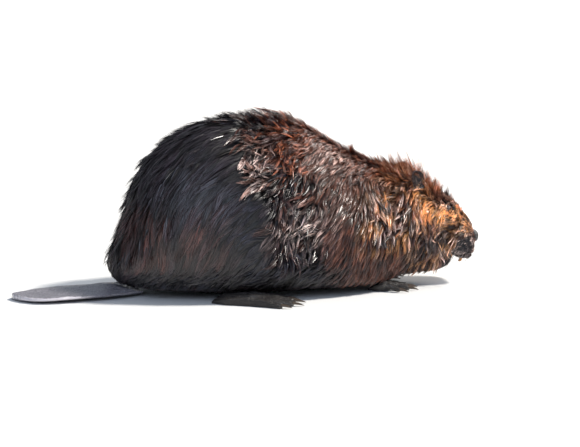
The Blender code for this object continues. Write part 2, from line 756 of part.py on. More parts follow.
def add_head_fittings():
    for word, side in SIDES.items():
        add_object(f"eye_{word}", eye(f"eye_{word}", side), "eye")
        add_fitted(f"ear_{word}", ear(side), "skin_dark", [body("host", GAP)])
    add_object("nose", tidied(nose_pad()), "skin_dark")
    add_object("incisors", incisors(), "incisor")
    add_fitted("jaw", jaw(), "coat_head", [body("host", GAP)])


def centre_on_floor():
    """Moves everything so that the middle of its bounding box stands over the origin."""
    points = [vertex.co for piece in bpy.data.objects for vertex in piece.data.vertices]
    low = [min(point[axis] for point in points) for axis in range(3)]
    high = [max(point[axis] for point in points) for axis in range(3)]
    shift = Vector((-(low[0] + high[0]) / 2, -(low[1] + high[1]) / 2, -low[2]))
    for piece in bpy.data.objects:
        piece.data.transform(Matrix.Translation(shift))


def build():
    clear_scene()
    add_body_parts()
    add_head_fittings()
    add_feet()
    add_fitted("tail_paddle", tail_paddle(), "tail_scales", [body("host", GAP)])
    centre_on_floor()


build()
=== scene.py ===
"""Looks for a life-size beaver at rest: one skin over its flesh, a coat of mesh locks, and bare parts."""

import math
from collections import namedtuple
from types import SimpleNamespace

import bmesh
import bpy
import numpy as np
from mathutils import Matrix, Vector
from mathutils.bvhtree import BVHTree
from mathutils.kdtree import KDTree


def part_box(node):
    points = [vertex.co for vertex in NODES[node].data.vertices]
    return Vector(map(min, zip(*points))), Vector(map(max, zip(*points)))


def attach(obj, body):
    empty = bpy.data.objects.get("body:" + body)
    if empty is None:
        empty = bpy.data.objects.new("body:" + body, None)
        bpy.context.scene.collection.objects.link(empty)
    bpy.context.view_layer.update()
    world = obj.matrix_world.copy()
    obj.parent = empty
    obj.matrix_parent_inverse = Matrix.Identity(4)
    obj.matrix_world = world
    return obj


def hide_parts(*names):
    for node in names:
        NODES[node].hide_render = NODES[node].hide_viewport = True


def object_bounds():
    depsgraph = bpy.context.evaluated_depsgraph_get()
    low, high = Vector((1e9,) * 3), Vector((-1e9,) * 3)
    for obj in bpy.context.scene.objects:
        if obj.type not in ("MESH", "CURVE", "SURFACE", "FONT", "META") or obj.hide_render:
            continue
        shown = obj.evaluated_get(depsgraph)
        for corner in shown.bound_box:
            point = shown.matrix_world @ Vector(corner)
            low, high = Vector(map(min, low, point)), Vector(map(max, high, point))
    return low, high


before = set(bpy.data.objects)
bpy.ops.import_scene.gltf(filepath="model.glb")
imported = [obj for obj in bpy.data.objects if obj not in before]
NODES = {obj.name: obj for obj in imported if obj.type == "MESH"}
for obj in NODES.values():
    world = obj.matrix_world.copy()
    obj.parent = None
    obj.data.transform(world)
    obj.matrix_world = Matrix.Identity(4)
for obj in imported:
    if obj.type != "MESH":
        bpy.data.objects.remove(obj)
CAD_LOW, CAD_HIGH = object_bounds()
SIDES = {"left": 1.0, "right": -1.0}

FLESH = ["head", "jaw", "neck", "chest", "trunk", "rump", "tail_root"]
FLESH += [f"{leg}_{side}" for leg in ("foreleg", "hindleg") for side in SIDES]

# The body's own measures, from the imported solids.
RUMP_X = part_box("rump")[0].x
NOSE_LOW, NOSE_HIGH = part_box("nose")
LENGTH = NOSE_HIGH.x - RUMP_X
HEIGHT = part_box("trunk")[1].z
HALF_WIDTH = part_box("trunk")[1].y
EYE_RADIUS = (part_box("eye_left")[1].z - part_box("eye_left")[0].z) / 2
EYE_SLOPE = math.radians(42.0)  # how steeply the eye's slit falls towards the nose
EYE_SINK = 0.0044  # how far the eyeball is set into the head
NOSE_MIDDLE = np.array((NOSE_LOW + NOSE_HIGH) / 2)
NOSE_HALF = np.array((NOSE_HIGH - NOSE_LOW) / 2)
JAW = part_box("jaw")[1]  # its front, left and top
TOP = CAD_HIGH.z - 0.0004  # as high as any lock reaches
FLOOR_GAP = 0.0006  # the lowest that any lock hangs


def middle_of(node):
    low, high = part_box(node)
    return np.array((low + high) / 2)


def eye_axes(side):
    """The eye's own directions: along its slit towards the nose, across it, and outwards."""
    out = Vector((0.22, SIDES[side] * 0.90, 0.30)).normalized()
    slit = Vector((math.cos(EYE_SLOPE), 0.0, -math.sin(EYE_SLOPE)))
    slit = (slit - out * slit.dot(out)).normalized()
    return [np.array(axis) for axis in (slit, out.cross(slit) * SIDES[side], out)]


EYES = {side: middle_of(f"eye_{side}") - eye_axes(side)[2] * EYE_SINK for side in SIDES}

SKIN_VOXEL = 0.0025
FOOT_VOXEL = 0.0013
TAIL_VOXEL = 0.0024
COAT_PIECE_LIMIT = 190_000  # triangles
COAT_LIMIT = 1_450_000  # triangles in all the body's coat
UV_PATCH = 0.003  # how wide a strand's patch is on the OFBake map


# ---- Numbers on many points at once


def rise(values, start, end):
    """0 below start, 1 above end, and a smooth step between."""
    share = np.clip((values - start) / (end - start), 0.0, 1.0)
    return share * share * (3.0 - 2.0 * share)


def fall(values, start, end):
    """1 below start, 0 above end, and a smooth step between."""
    return 1.0 - rise(values, start, end)


def bell(offset, width):
    """1 where offset is 0, and almost 0 beyond twice the width."""
    return np.exp(-((offset / width) ** 2))


def unit(vectors):
    return vectors / np.maximum(np.linalg.norm(vectors, axis=-1, keepdims=True), 1e-9)


def ripple(points, size, seed, stretch=(1.0, 1.0, 1.0)):
    """A smooth noise between about -1 and 1, with features about `size` metres across."""
    random = np.random.default_rng(seed)
    total = np.zeros(len(points))
    places = points / np.array(stretch)
    for _ in range(8):
        direction = random.normal(size=3)
        direction *= math.tau / size * random.uniform(0.5, 1.3) / np.linalg.norm(direction)
        total += np.sin(places @ direction + random.uniform(0.0, math.tau))
    return total / 3.0


def along_skin(vectors, normals):
    """Takes off vectors the part that points along the skin's normals."""
    return vectors - normals * np.sum(vectors * normals, 1, keepdims=True)


def swung(ways, normals, angle):
    """Ways along the skin, turned about its normals."""
    return ways * np.cos(angle)[:, None] + np.cross(normals, ways) * np.sin(angle)[:, None]


def shares(points):
    """Where points are, as shares of the body's length, height and half width."""
    return (points[:, 0] - RUMP_X) / LENGTH, points[:, 2] / HEIGHT, points[:, 1] / HALF_WIDTH


def spot(points, along, up, reach_along, reach_up):
    """1 at a place given as shares of the body's length and height, falling to 0 around it."""
    x, z, _ = shares(points)
    return np.exp(-(((x - along) / reach_along) ** 2) - ((z - up) / reach_up) ** 2)


# ---- Meshes as arrays


def arrays_of(mesh):
    """A mesh's points and triangles."""
    points = np.empty(len(mesh.vertices) * 3)
    mesh.vertices.foreach_get("co", points)
    mesh.calc_loop_triangles()
    triangles = np.empty(len(mesh.loop_triangles) * 3, int)
    mesh.loop_triangles.foreach_get("vertices", triangles)
    return points.reshape(-1, 3), triangles.reshape(-1, 3)


def new_object(name, data):
    made = bpy.data.objects.new(name, data)
    bpy.context.scene.collection.objects.link(made)
    return made


def mesh_object(name, points, corners, starts):
    """A new object from points, the faces' corners in one row, and where each face starts in it."""
    mesh = bpy.data.meshes.new(name)
    mesh.vertices.add(len(points))
    mesh.vertices.foreach_set("co", np.ascontiguousarray(points, np.float32).ravel())
    mesh.loops.add(len(corners))
    mesh.loops.foreach_set("vertex_index", np.asarray(corners, np.int32))
    mesh.polygons.add(len(starts))
    mesh.polygons.foreach_set("loop_start", np.asarray(starts, np.int32))
    mesh.update(calc_edges=True)
    mesh.polygons.foreach_set("use_smooth", np.full(len(starts), True))
    return new_object(name, mesh)


def triangle_object(name, points, triangles):
    return mesh_object(name, points, triangles.ravel(), np.arange(len(triangles)) * 3)


def together(parts):
    """Several (points, triangles) pairs as one."""
    counts = np.cumsum([0] + [len(points) for points, _ in parts])
    triangles = [some + count for (_, some), count in zip(parts, counts)]
    return np.concatenate([points for points, _ in parts]), np.concatenate(triangles)


def remeshed(points, triangles, voxel):
    """The outer surface of closed solids as one even mesh."""
    rough = triangle_object("rough", points, triangles)
    modifier = rough.modifiers.new("Remesh", "REMESH")
    modifier.mode = "VOXEL"
    modifier.voxel_size = voxel
    graph = bpy.context.evaluated_depsgraph_get()
    mesh = bpy.data.meshes.new_from_object(rough.evaluated_get(graph))
    found = arrays_of(mesh)
    bpy.data.meshes.remove(mesh)
    bpy.data.objects.remove(rough)
    return found


def summed(indices, values, count):
    """Adds rows of values up by index."""
    return np.stack([np.bincount(indices, values[:, k], count) for k in range(3)], 1)


def point_normals(points, triangles):
    """Each point's normal, from the triangles round it by their area."""
    a, b, c = (points[triangles[:, k]] for k in range(3))
    faces = np.cross(b - a, c - a)
    return unit(sum(summed(triangles[:, k], faces, len(points)) for k in range(3)))


def smoothed(points, triangles, rounds, share=0.5, mask=None):
    """Moves each point towards the middle of its neighbours."""
    ends = np.concatenate([triangles[:, [0, 1]], triangles[:, [1, 2]], triangles[:, [2, 0]]])
    count = np.bincount(ends[:, 0], minlength=len(points))[:, None]
    weight = share if mask is None else share * mask[:, None]
    for _ in range(rounds):
        middle = summed(ends[:, 0], points[ends[:, 1]], len(points)) / np.maximum(count, 1)
        points = points + (middle - points) * weight
    return points


class Surface:
    """A closed skin of triangles, with the searches that the coat needs."""

    def __init__(self, points, triangles):
        self.points = points
        self.triangles = triangles
        self.normals = point_normals(points, triangles)
        self.tree = BVHTree.FromPolygons(points.tolist(), triangles.tolist())

    def nearest(self, places):
        """The nearest place on the skin for each place, and the skin's smooth normal there."""
        found = np.empty((len(places), 3))
        face = np.empty(len(places), int)
        for i, place in enumerate(places.tolist()):
            found[i], _, face[i], _ = self.tree.find_nearest(place)
        return found, self.normal_at(found, face)

    def normal_at(self, places, face):
        corners = self.points[self.triangles[face]]
        normals = self.normals[self.triangles[face]]
        a, b, c = corners[:, 0], corners[:, 1], corners[:, 2]
        spans = [(b, c), (c, a), (a, b)]
        areas = [np.cross(first - places, second - places) for first, second in spans]
        weights = [np.linalg.norm(area, axis=1)[:, None] + 1e-12 for area in areas]
        return unit(sum(weights[k] * normals[:, k] for k in range(3)))

    def scatter(self, density, random):
        """Random places on the skin, about density(points) of them per square metre."""
        a, b, c = (self.points[self.triangles[:, k]] for k in range(3))
        area = np.linalg.norm(np.cross(b - a, c - a), axis=1) / 2
        wanted = area * density((a + b + c) / 3)
        count = np.floor(wanted + random.random(len(wanted))).astype(int)
        face = np.repeat(np.arange(len(wanted)), count)
        first, second = random.random((2, len(face)))
        folded = first + second > 1.0
        first[folded], second[folded] = 1.0 - first[folded], 1.0 - second[folded]
        places = a[face] + (b - a)[face] * first[:, None] + (c - a)[face] * second[:, None]
        return places, self.normal_at(places, face)


# ---- Where each kind of coat grows

Zone = namedtuple("Zone", "depth length gap strands gather lift roll wave width stray bunch clump")
# depth: from the skin to the coat's tips. gap: between locks. gather: how far a lock's strands meet
# at its tip. lift: how far the tips stand off, as a share of depth. roll: degrees that strands tilt.
# wave: how far strands swing sideways. width: of one strand.
# stray: degrees by which neighbouring bunches differ in direction. bunch: between bunches of locks.
# clump: how far a bunch's locks meet at its tip.
ZONES = {
    "shoulder": Zone(0.0100, 0.028, 0.0037, 8, 0.60, 0.78, 30, 0.0002, 0.0008, 5, 0.0052, 0.35),
    "sleek": Zone(0.0075, 0.062, 0.0048, 9, 0.55, 0.62, 22, 0.0014, 0.0011, 5, 0.0140, 0.78),
    "tousled": Zone(0.0130, 0.026, 0.0036, 6, 0.90, 1.05, 50, 0.0003, 0.0009, 22, 0.0058, 0.90),
    "belly": Zone(0.0080, 0.030, 0.0052, 8, 0.75, 0.70, 38, 0.0008, 0.0012, 10, 0.0110, 0.80),
    "ruff": Zone(0.0120, 0.027, 0.0037, 7, 0.90, 1.05, 45, 0.0008, 0.0009, 17, 0.0064, 0.90),
    "crest": Zone(0.0100, 0.022, 0.0033, 7, 0.92, 2.30, 70, 0.0005, 0.00065, 15, 0.0054, 0.88),
    "cheek": Zone(0.0060, 0.016, 0.0028, 8, 0.65, 0.90, 45, 0.0006, 0.00055, 9, 0.0050, 0.45),
    "lower_cheek": Zone(0.0080, 0.018, 0.0032, 7, 0.92, 1.05, 50, 0.0006, 0.00065, 20, 0.0054, 0.90),
    "limb": Zone(0.0045, 0.014, 0.0038, 8, 0.65, 0.75, 40, 0.0006, 0.0008, 10, 0.0080, 0.50),
    "muzzle": Zone(0.0014, 0.0070, 0.0019, 5, 0.35, 1.50, 45, 0.0000, 0.0006, 14, 0.0040, 0.15),
}


def lip_line(along, up):
    """How far a point lies ahead of the slanting edge of the dark muzzle, as a share of length."""
    return along - (0.8800 + (up - 0.13) * 0.307)


def zone_weights(points, normals):
    """How much of each zone is at each point; later zones cover earlier ones."""
    along, up, _ = shares(points)
    wobble = 0.012 * ripple(points, 0.05, 11)
    top = rise(normals[:, 2], 0.40, 0.80)
    low = fall(up, 0.14, 0.30)
    dark_muzzle = rise(lip_line(along, up), 0.0, 0.010) * fall(up, 0.27, 0.33)
    masks = {
        "tousled": fall(along - 0.485 - 0.095 * (1.0 - up) + wobble, -0.03, 0.03),
        "sleek": fall(along - 0.345 - 0.060 * rise(1.0 - up, 0.25, 0.50) + wobble, -0.010, 0.010),
        "belly": low * fall(along, 0.50, 0.66),
        "ruff": rise(along, 0.62, 0.69) * rise(up, 0.24, 0.34) * fall(up, 0.52, 0.66),
        "crest": rise(along, 0.70, 0.78) * top * fall(along, 0.90, 0.96),
        "cheek": rise(along, 0.795, 0.825) * (1.0 - top),
        "lower_cheek": rise(along, 0.78, 0.81) * fall(up, 0.34, 0.43),
        "limb": np.maximum(fall(up, 0.07, 0.13), fall(along, 0.00, 0.05) * low),
        "muzzle": np.maximum(dark_muzzle, rise(along, 0.935, 0.960)),
    }
    weights = {"shoulder": np.ones(len(points))}
    for name, mask in masks.items():
        for other in weights:
            weights[other] = weights[other] * (1.0 - mask)
        weights[name] = mask
    return weights


def zone_values(points, normals):
    """Every column of ZONES, mixed at each point."""
    weights = zone_weights(points, normals)
    mixed = {}
    for field in Zone._fields:
        mixed[field] = sum(weights[name] * getattr(ZONES[name], field) for name in ZONES)
    along, _, _ = shares(points)
    to_eye, to_nose = eye_distance(points), nose_distance(points)
    by_eye, by_nose = fall(to_eye, 0.010, 0.036), fall(to_nose, 0.001, 0.009)
    mixed["depth"] *= 1.0 - 0.80 * by_eye
    mixed["gap"] *= 1.0 - 0.4 * by_eye
    mixed["clump"] *= rise(to_eye, 0.012, 0.034)
    mixed["gather"] *= 1.0 - 0.6 * by_eye
    mixed["strands"] *= 1.0 + 1.4 * by_eye + 0.8 * by_nose
    longest = np.minimum(mixed["length"], 0.0028 + 0.65 * np.maximum(to_eye - EYE_RADIUS, 0.0))
    longest *= 1.0 - 0.35 * weights["sleek"] * rise(along, 0.26, 0.40)
    mixed["length"] = np.minimum(longest, 0.0026 + 0.60 * to_nose)
    ridge = rise(normals[:, 2], 0.80, 0.96) * rise(along, 0.36, 0.44) * fall(along, 0.66, 0.74)
    mixed["lift"] += 0.80 * ridge
    mixed["stray"] += 8.0 * ridge
    # How much the lifts of neighbouring bunches differ.
    sleek_edge = weights["sleek"] * rise(along, 0.24, 0.34)
    mixed["uneven"] = 0.55 + 0.55 * weights["crest"] + 0.85 * ridge + 0.75 * sleek_edge
    return mixed, weights


def eye_distance(points):
    """How far points are from the nearer eye's middle."""
    both = [np.linalg.norm(points - eye, axis=1) for eye in EYES.values()]
    return np.minimum(*both)


def nose_distance(points):
    """About how far points are from the nose pad's edge."""
    radii = np.linalg.norm((points - NOSE_MIDDLE) / NOSE_HALF, axis=1)
    return np.maximum(radii - 1.0, 0.0) * NOSE_HALF.min()


def comb(points, normals, weights):
    """The way the coat lies: a direction along the skin at each point, from degrees below level."""
    along, up, _ = shares(points)
    back = np.clip((0.36 - along) / 0.36, 0.0, 1.0)
    slope = {
        "shoulder": 36.0 + 30.0 * (1.0 - up),
        "sleek": 12.0 + 62.0 * back**0.7 + 38.0 * np.clip(1.0 - up, 0.0, 1.0) ** 1.2,
        "tousled": 42.0 + 16.0 * (1.0 - up),
        "belly": 32.0,
        "ruff": 70.0,
        "crest": 6.0,
        "cheek": 62.0,
        "lower_cheek": 74.0,
        "limb": 78.0,
        "muzzle": 30.0,
    }
    # Degrees by which the lie wanders from place to place, and 8 in the other zones.
    unrest = {"tousled": 26.0, "ruff": 24.0, "cheek": 12.0, "lower_cheek": 28.0, "crest": 12.0}
    unrest["shoulder"] = 5.0
    angle = sum(weights[name] * slope[name] for name in ZONES)
    angle = angle * (1.0 - 0.9 * rise(normals[:, 0], 0.15, 0.60) * rise(along, 0.74, 0.80))
    loose = sum(weights[name] * unrest.get(name, 8.0) for name in ZONES)
    angle = np.radians(angle + loose * ripple(points, 0.045, 5))
    outwards = 0.10 * np.clip(points[:, 1] / 0.04, -1.0, 1.0)
    wanted = np.stack([-np.cos(angle), outwards, -np.sin(angle)], 1)
    flat = along_skin(wanted, normals) + 0.02 * np.array([-1.0, 0.0, 0.0])
    turn = np.radians(loose) * 0.8 * ripple(points, 0.030, 6)
    return unit(swung(unit(along_skin(flat, normals)), normals, turn))


# ---- The coat's markings

def markings(roots, normals, points):
    """How much of each hair colour there is, on the skin and on the locks alike.

    roots tell the zone, and points are where the colour shows: the same place on the skin, and some way
    along a lock.
    """
    along, up, _ = shares(points)
    zone = SimpleNamespace(**zone_weights(roots, normals))
    patch = 0.5 + 0.5 * ripple(points, 0.030, 21)
    fine = 0.5 + 0.5 * ripple(points, 0.010, 22)
    beyond_lip = lip_line(along, up)
    low_face = fall(up, 0.25, 0.31)
    lip_edge = bell(beyond_lip + 0.008, 0.011) * fall(up, 0.30, 0.38)
    temple = up + 2.2 * np.maximum(along - 0.8525, 0.0) - 0.585
    golden = 1.3 * zone.cheek * rise(along, 0.78, 0.83) * fall(temple, -0.02, 0.05)
    golden += 0.85 * zone.ruff * rise(patch, 0.20, 0.65)
    golden += 0.90 * zone.lower_cheek * rise(fine, 0.35, 0.75)
    golden += 0.65 * zone.muzzle * (1.0 - low_face) + 0.28 * zone.crest + 0.9 * lip_edge
    golden -= 0.85 * spot(points, 0.835, 0.38, 0.026, 0.075)
    rufous = 0.95 * zone.crest + 0.85 * zone.cheek + 0.45 * zone.ruff
    rufous += zone.tousled * spot(points, 0.50, 0.80, 0.090, 0.22) * 1.30
    rufous += 0.40 * rise(normals[:, 2], 0.55, 0.85) * rise(along, 0.44, 0.52)
    rufous += 0.35 * zone.tousled * rise(patch, 0.3, 0.8)
    rufous += 0.30 * zone.shoulder + 0.35 * zone.lower_cheek + 0.75 * zone.muzzle
    rufous += 0.38 * low_flank(points) * zone.sleek
    pale_and_glint = 1.10 * spot(points, 0.485, 0.41, 0.070, 0.085) * zone.tousled
    pale_and_glint += 0.90 * spot(points, 0.565, 0.46, 0.022, 0.090)
    pale_and_glint += 0.80 * spot(points, 0.370, 0.72, 0.028, 0.10) * zone.tousled
    # Painted highlight: pale tips on the shoulder's top stand for the sun's glints on wet hair
    pale_and_glint += 1.00 * spot(points, 0.60, 0.80, 0.085, 0.12) * fall(normals[:, 2], 0.70, 0.90)
    pale_and_glint += 1.00 * zone.ruff * rise(fine, 0.40, 0.80) + 0.35 * zone.lower_cheek * fine
    pale_and_glint += 0.9 * lip_edge
    # Pale short hairs at the muzzle's front, and low on it pale specks that are painted glints of wet hair
    pale_and_glint += zone.muzzle * (0.40 * rise(along, 0.950, 0.970) + 0.85 * low_face * rise(fine, 0.4, 0.8))
    pale_and_glint += 0.45 * zone.crest * fine
    pale_and_glint += 0.75 * eye_band(points, -0.017, 0.014, -0.0068, 0.0016)
    near_tip = 1.0 - 0.3 * rise(along, 0.955, 0.975)
    black = zone.muzzle * rise(beyond_lip, 0.002, 0.010) * low_face * near_tip
    eye_line = 1.3 * eye_band(points, -0.008, 0.018, 0.0, 0.0048)
    black += 0.90 * zone.belly + 0.66 * zone.sleek + eye_line
    black += 0.30 * zone.sleek * rise(along, 0.26, 0.36) * fall(up, 0.55, 0.75)
    black -= 0.28 * low_flank(points) * zone.sleek
    black += 0.90 * fall(nose_distance(points), 0.0010, 0.0032)
    black += 0.90 * spot(points, 0.445, 0.57, 0.065, 0.085) * zone.tousled
    black += 0.60 * zone.tousled * fall(up, 0.22, 0.36)
    black += 0.55 * zone.tousled * fall(along, 0.33, 0.40) * rise(up, 0.80, 0.92)
    found = {"golden": golden, "rufous": rufous, "pale_and_glint": pale_and_glint, "black": black, "lip": lips(points)}
    return {name: np.clip(values, 0.0, 1.0) for name, values in found.items()}


def low_flank(points):
    """Where brown shows through the dark rump: low on the flank and at its rear, in patches."""
    patch = 0.6 + 0.4 * ripple(points, 0.05, 23)
    return patch * spot(points, 0.14, 0.34, 0.16, 0.16)


def lips(points):
    """The bare lip along the mouth's cleft."""
    x, z = points[:, 0], points[:, 2]
    back, front = JAW.x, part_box("incisors")[1].x
    run = rise(x, back - 0.012, back) * fall(x, front - 0.006, front + 0.004)
    return bell(z - mouth_level(x), 0.0016) * run


def mouth_level(x):
    """The height of the mouth's cleft."""
    return JAW.z + 0.001 + 0.10 * (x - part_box("incisors")[1].x)


def eye_band(points, start, reach, above, width):
    """A band along each eye's slit, from in front of the eye back towards the ear."""
    found = np.zeros(len(points))
    for eye in EYES.values():
        offset = points - eye
        lengthwise = offset[:, 0] * math.cos(EYE_SLOPE) - offset[:, 2] * math.sin(EYE_SLOPE)
        across = offset[:, 0] * math.sin(EYE_SLOPE) + offset[:, 2] * math.cos(EYE_SLOPE)
        same_side = points[:, 1] * eye[1] > 0.0
        apart = ((lengthwise - start) / reach) ** 2 + ((across - above) / width) ** 2
        found += same_side * np.exp(-apart)
    return found


# ---- Materials


class Shader:
    """One material and its nodes."""

    def __init__(self, name):
        self.material = bpy.data.materials.new(name)
        self.material.use_nodes = True
        self.tree = self.material.node_tree
        self.principled = self.tree.nodes["Principled BSDF"]

    def node(self, kind, inputs=None, **settings):
        made = self.tree.nodes.new(kind)
        for name, value in settings.items():
            setattr(made, name, value)
        for name, value in (inputs or {}).items():
            self.set(made.inputs[name], value)
        return made

    def set(self, socket, value):
        if isinstance(value, bpy.types.NodeSocket):
            self.tree.links.new(value, socket)
        else:
            socket.default_value = value

    def attribute(self, name):
        return self.node("ShaderNodeAttribute", attribute_name=name).outputs["Fac"]

    def mix(self, factor, first, second, kind="MIX"):
        made = self.node("ShaderNodeMix", data_type="RGBA", blend_type=kind)
        self.set(made.inputs[0], factor)
        for socket, colour in ((made.inputs[6], first), (made.inputs[7], second)):
            self.set(socket, colour if isinstance(colour, bpy.types.NodeSocket) else (*colour, 1.0))
        return made.outputs[2]

    def math(self, operation, first, second=0.0):
        made = self.node("ShaderNodeMath", operation=operation)
        self.set(made.inputs[0], first)
        self.set(made.inputs[1], second)
        return made.outputs[0]

    def noise(self, scale, detail=4.0, roughness=0.5):
        place = self.node("ShaderNodeTexCoord").outputs["Object"]
        inputs = {"Vector": place, "Scale": scale, "Detail": detail, "Roughness": roughness}
        return self.node("ShaderNodeTexNoise", inputs).outputs["Fac"]

    def cells(self, scale, feature="DISTANCE_TO_EDGE"):
        place = self.node("ShaderNodeTexCoord").outputs["Object"]
        inputs = {"Vector": place, "Scale": scale}
        return self.node("ShaderNodeTexVoronoi", inputs, feature=feature).outputs["Distance"]

    def range(self, value, low, high, to_low=0.0, to_high=1.0):
        inputs = {"Value": value, "From Min": low, "From Max": high, "To Min": to_low, "To Max": to_high}
        return self.node("ShaderNodeMapRange", inputs).outputs["Result"]

    def bump(self, height, distance, strength=1.0):
        inputs = {"Height": height, "Distance": distance, "Strength": strength}
        self.set(self.principled.inputs["Normal"], self.node("ShaderNodeBump", inputs).outputs["Normal"])

    def finish(self, **inputs):
        for name, value in inputs.items():
            self.set(self.principled.inputs[name.replace("_", " ")], value)
        return self.material


DARK = (0.030, 0.018, 0.018)
HAIR_COLOURS = {
    "rufous": (0.400, 0.122, 0.056),
    "golden": (0.740, 0.345, 0.118),
    # pale_and_glint: pale hair, and also the colour of painted glints on wet hair
    "pale_and_glint": (0.800, 0.620, 0.560),
    # The black's blue tint is a painted sheen of blue sky light on the wet coat
    "black": (0.0125, 0.0118, 0.0185),
    "lip": (0.200, 0.055, 0.032),
}


def coat_material(name, along, rough=(0.46, 0.26), wet=0.25):
    """Wet hair: dark at the root, the marking's colour at the tip.

    along is one place on the hair for all of it, or None where each point of the mesh has its own.
    """
    shader = Shader(name)
    along = shader.attribute("along") if along is None else along
    tone = shader.attribute("tone")
    colour = DARK
    bright_strands = shader.range(tone, 0.48, 0.80)
    for mark in ("rufous", "golden", "black", "pale_and_glint", "lip"):
        amount = shader.attribute(mark)
        if mark == "pale_and_glint":
            amount = shader.math("MULTIPLY", amount, bright_strands)
        colour = shader.mix(amount, colour, HAIR_COLOURS[mark])
    skewed = shader.math("POWER", tone, 1.8)
    colour = shader.mix(1.0, colour, grey(shader, skewed, 0.12, 3.30), "MULTIPLY")
    grown = shader.math("POWER", along, 1.1) if isinstance(along, bpy.types.NodeSocket) else along
    root = shader.mix(1.0, colour, (0.16, 0.14, 0.13), "MULTIPLY")
    colour = shader.mix(grown, root, colour)
    spots = shader.noise(420.0, 3.0)
    colour = shader.mix(1.0, colour, grey(shader, spots, 0.75, 1.25), "MULTIPLY")
    shader.bump(spots, 0.0004, 0.5)
    return shader.finish(
        Base_Color=colour,
        Roughness=shader.range(tone, 0.25, 0.75, *rough),
        Specular_IOR_Level=0.55,
        Coat_Weight=wet,
        Coat_Roughness=0.28,
    )


def grey(shader, value, dark, light):
    """A grey between two brightnesses."""
    level = shader.range(value, 0.0, 1.0, dark, light)
    return shader.node("ShaderNodeCombineColor", {"Red": level, "Green": level, "Blue": level}).outputs[0]


def floor_material():
    """Pale paper."""
    shader = Shader("floor_paper")
    patches = shader.noise(6.0, 5.0)
    colour = shader.mix(patches, (0.80, 0.80, 0.79), (0.86, 0.86, 0.85))
    shader.bump(shader.noise(180.0, 3.0), 0.0004, 0.2)
    return shader.finish(Base_Color=colour, Roughness=0.75)


def eye_material():
    """A dark wet eye: pupil, brown iris and a dark rim."""
    shader = Shader("wet_eye")
    ring = shader.attribute("from_pupil")
    iris = shader.mix(shader.noise(900.0), (0.020, 0.009, 0.005), (0.045, 0.020, 0.010))
    colour = shader.mix(shader.range(ring, 0.32, 0.40), (0.002, 0.002, 0.002), iris)
    colour = shader.mix(shader.range(ring, 0.80, 0.95), colour, (0.012, 0.009, 0.008))
    return shader.finish(
        Base_Color=colour, Roughness=0.05, Specular_IOR_Level=0.35, Coat_Weight=0.25, Coat_Roughness=0.02
    )


Leather = namedtuple("Leather", "dark light cells bump rough coat")
LEATHERS = {
    "nose": Leather((0.008, 0.007, 0.008), (0.020, 0.017, 0.018), 1500.0, 0.00018, (0.24, 0.42), 0.2),
    "ear": Leather((0.010, 0.009, 0.010), (0.034, 0.028, 0.032), 1300.0, 0.0002, (0.28, 0.50), 0.4),
    "foot": Leather((0.016, 0.013, 0.012), (0.045, 0.036, 0.032), 420.0, 0.0006, (0.38, 0.55), 0.15),
    # The tail's greys are partly its own dark grey and partly a painted sheen of wet leather
    "tail": Leather((0.260, 0.246, 0.280), (0.500, 0.474, 0.522), 420.0, 0.00012, (0.26, 0.40), 0.8),
}
# Painted highlight along the tail's rim
TAIL_RIM_HIGHLIGHT = (0.66, 0.63, 0.67)


def leather_material(kind, edge=None):
    """Bare wet skin with small raised scales or pores."""
    leather = LEATHERS[kind]
    shader = Shader(f"{kind}_leather")
    raised = shader.range(shader.cells(leather.cells), 0.02, 0.22)
    patches = shader.noise(leather.cells * 0.12, 5.0)
    colour = shader.mix(patches, leather.dark, leather.light)
    colour = shader.mix(raised, tuple(0.45 * channel for channel in leather.dark), colour)
    # The edge mark, where given, paints a highlight along the rim
    if edge:
        colour = shader.mix(shader.attribute("edge"), colour, edge)
    wet = shader.range(patches, 0.3, 0.7, *leather.rough)
    shader.bump(raised, leather.bump)
    return shader.finish(Base_Color=colour, Roughness=wet, Coat_Weight=leather.coat, Coat_Roughness=0.2)


def horn_material():
    """Dark streaky horn."""
    shader = Shader("claw_horn")
    streaks = shader.noise(260.0, 6.0, 0.7)
    colour = shader.mix(streaks, (0.022, 0.015, 0.012), (0.120, 0.085, 0.060))
    shader.bump(streaks, 0.0003, 0.6)
    return shader.finish(Base_Color=colour, Roughness=shader.range(streaks, 0.3, 0.7, 0.28, 0.45))


def tooth_material():
    """Orange enamel."""
    shader = Shader("incisor_enamel")
    streaks = shader.noise(300.0, 5.0)
    colour = shader.mix(streaks, (0.52, 0.20, 0.045), (0.70, 0.34, 0.10))
    shader.bump(streaks, 0.0002, 0.4)
    return shader.finish(Base_Color=colour, Roughness=0.28, Coat_Weight=0.4, Coat_Roughness=0.15)


# ---- The skin


def inset_flesh():
    """The solids' flesh as one skin, drawn in by the coat's depth so that its tips reach the solids."""
    points, triangles = together([arrays_of(NODES[name].data) for name in [*FLESH, "nose"]])
    points, triangles = remeshed(points, triangles, SKIN_VOXEL)
    points = smoothed(points, triangles, 5, 0.5, 1.0 - 0.7 * bare_face(points))
    values, _ = zone_values(points, point_normals(points, triangles))
    depth = smoothed(np.repeat(values["depth"][:, None], 3, 1), triangles, 12)[:, 0]
    depth = depth - 0.0012 * bare_face(points)
    steps = 3
    for _ in range(steps):
        points = points - point_normals(points, triangles) * (depth / steps)[:, None]
        points = smoothed(points, triangles, 1, 0.4, 1.0 - 0.8 * bare_face(points))
    return remeshed(points, triangles, SKIN_VOXEL)


def bare_face(points):
    """1 on the muzzle and chin, where the coat is shortest, and 0 behind them."""
    along, up, _ = shares(points)
    return rise(lip_line(along, up), -0.025, 0.010) * fall(up, 0.34, 0.44)


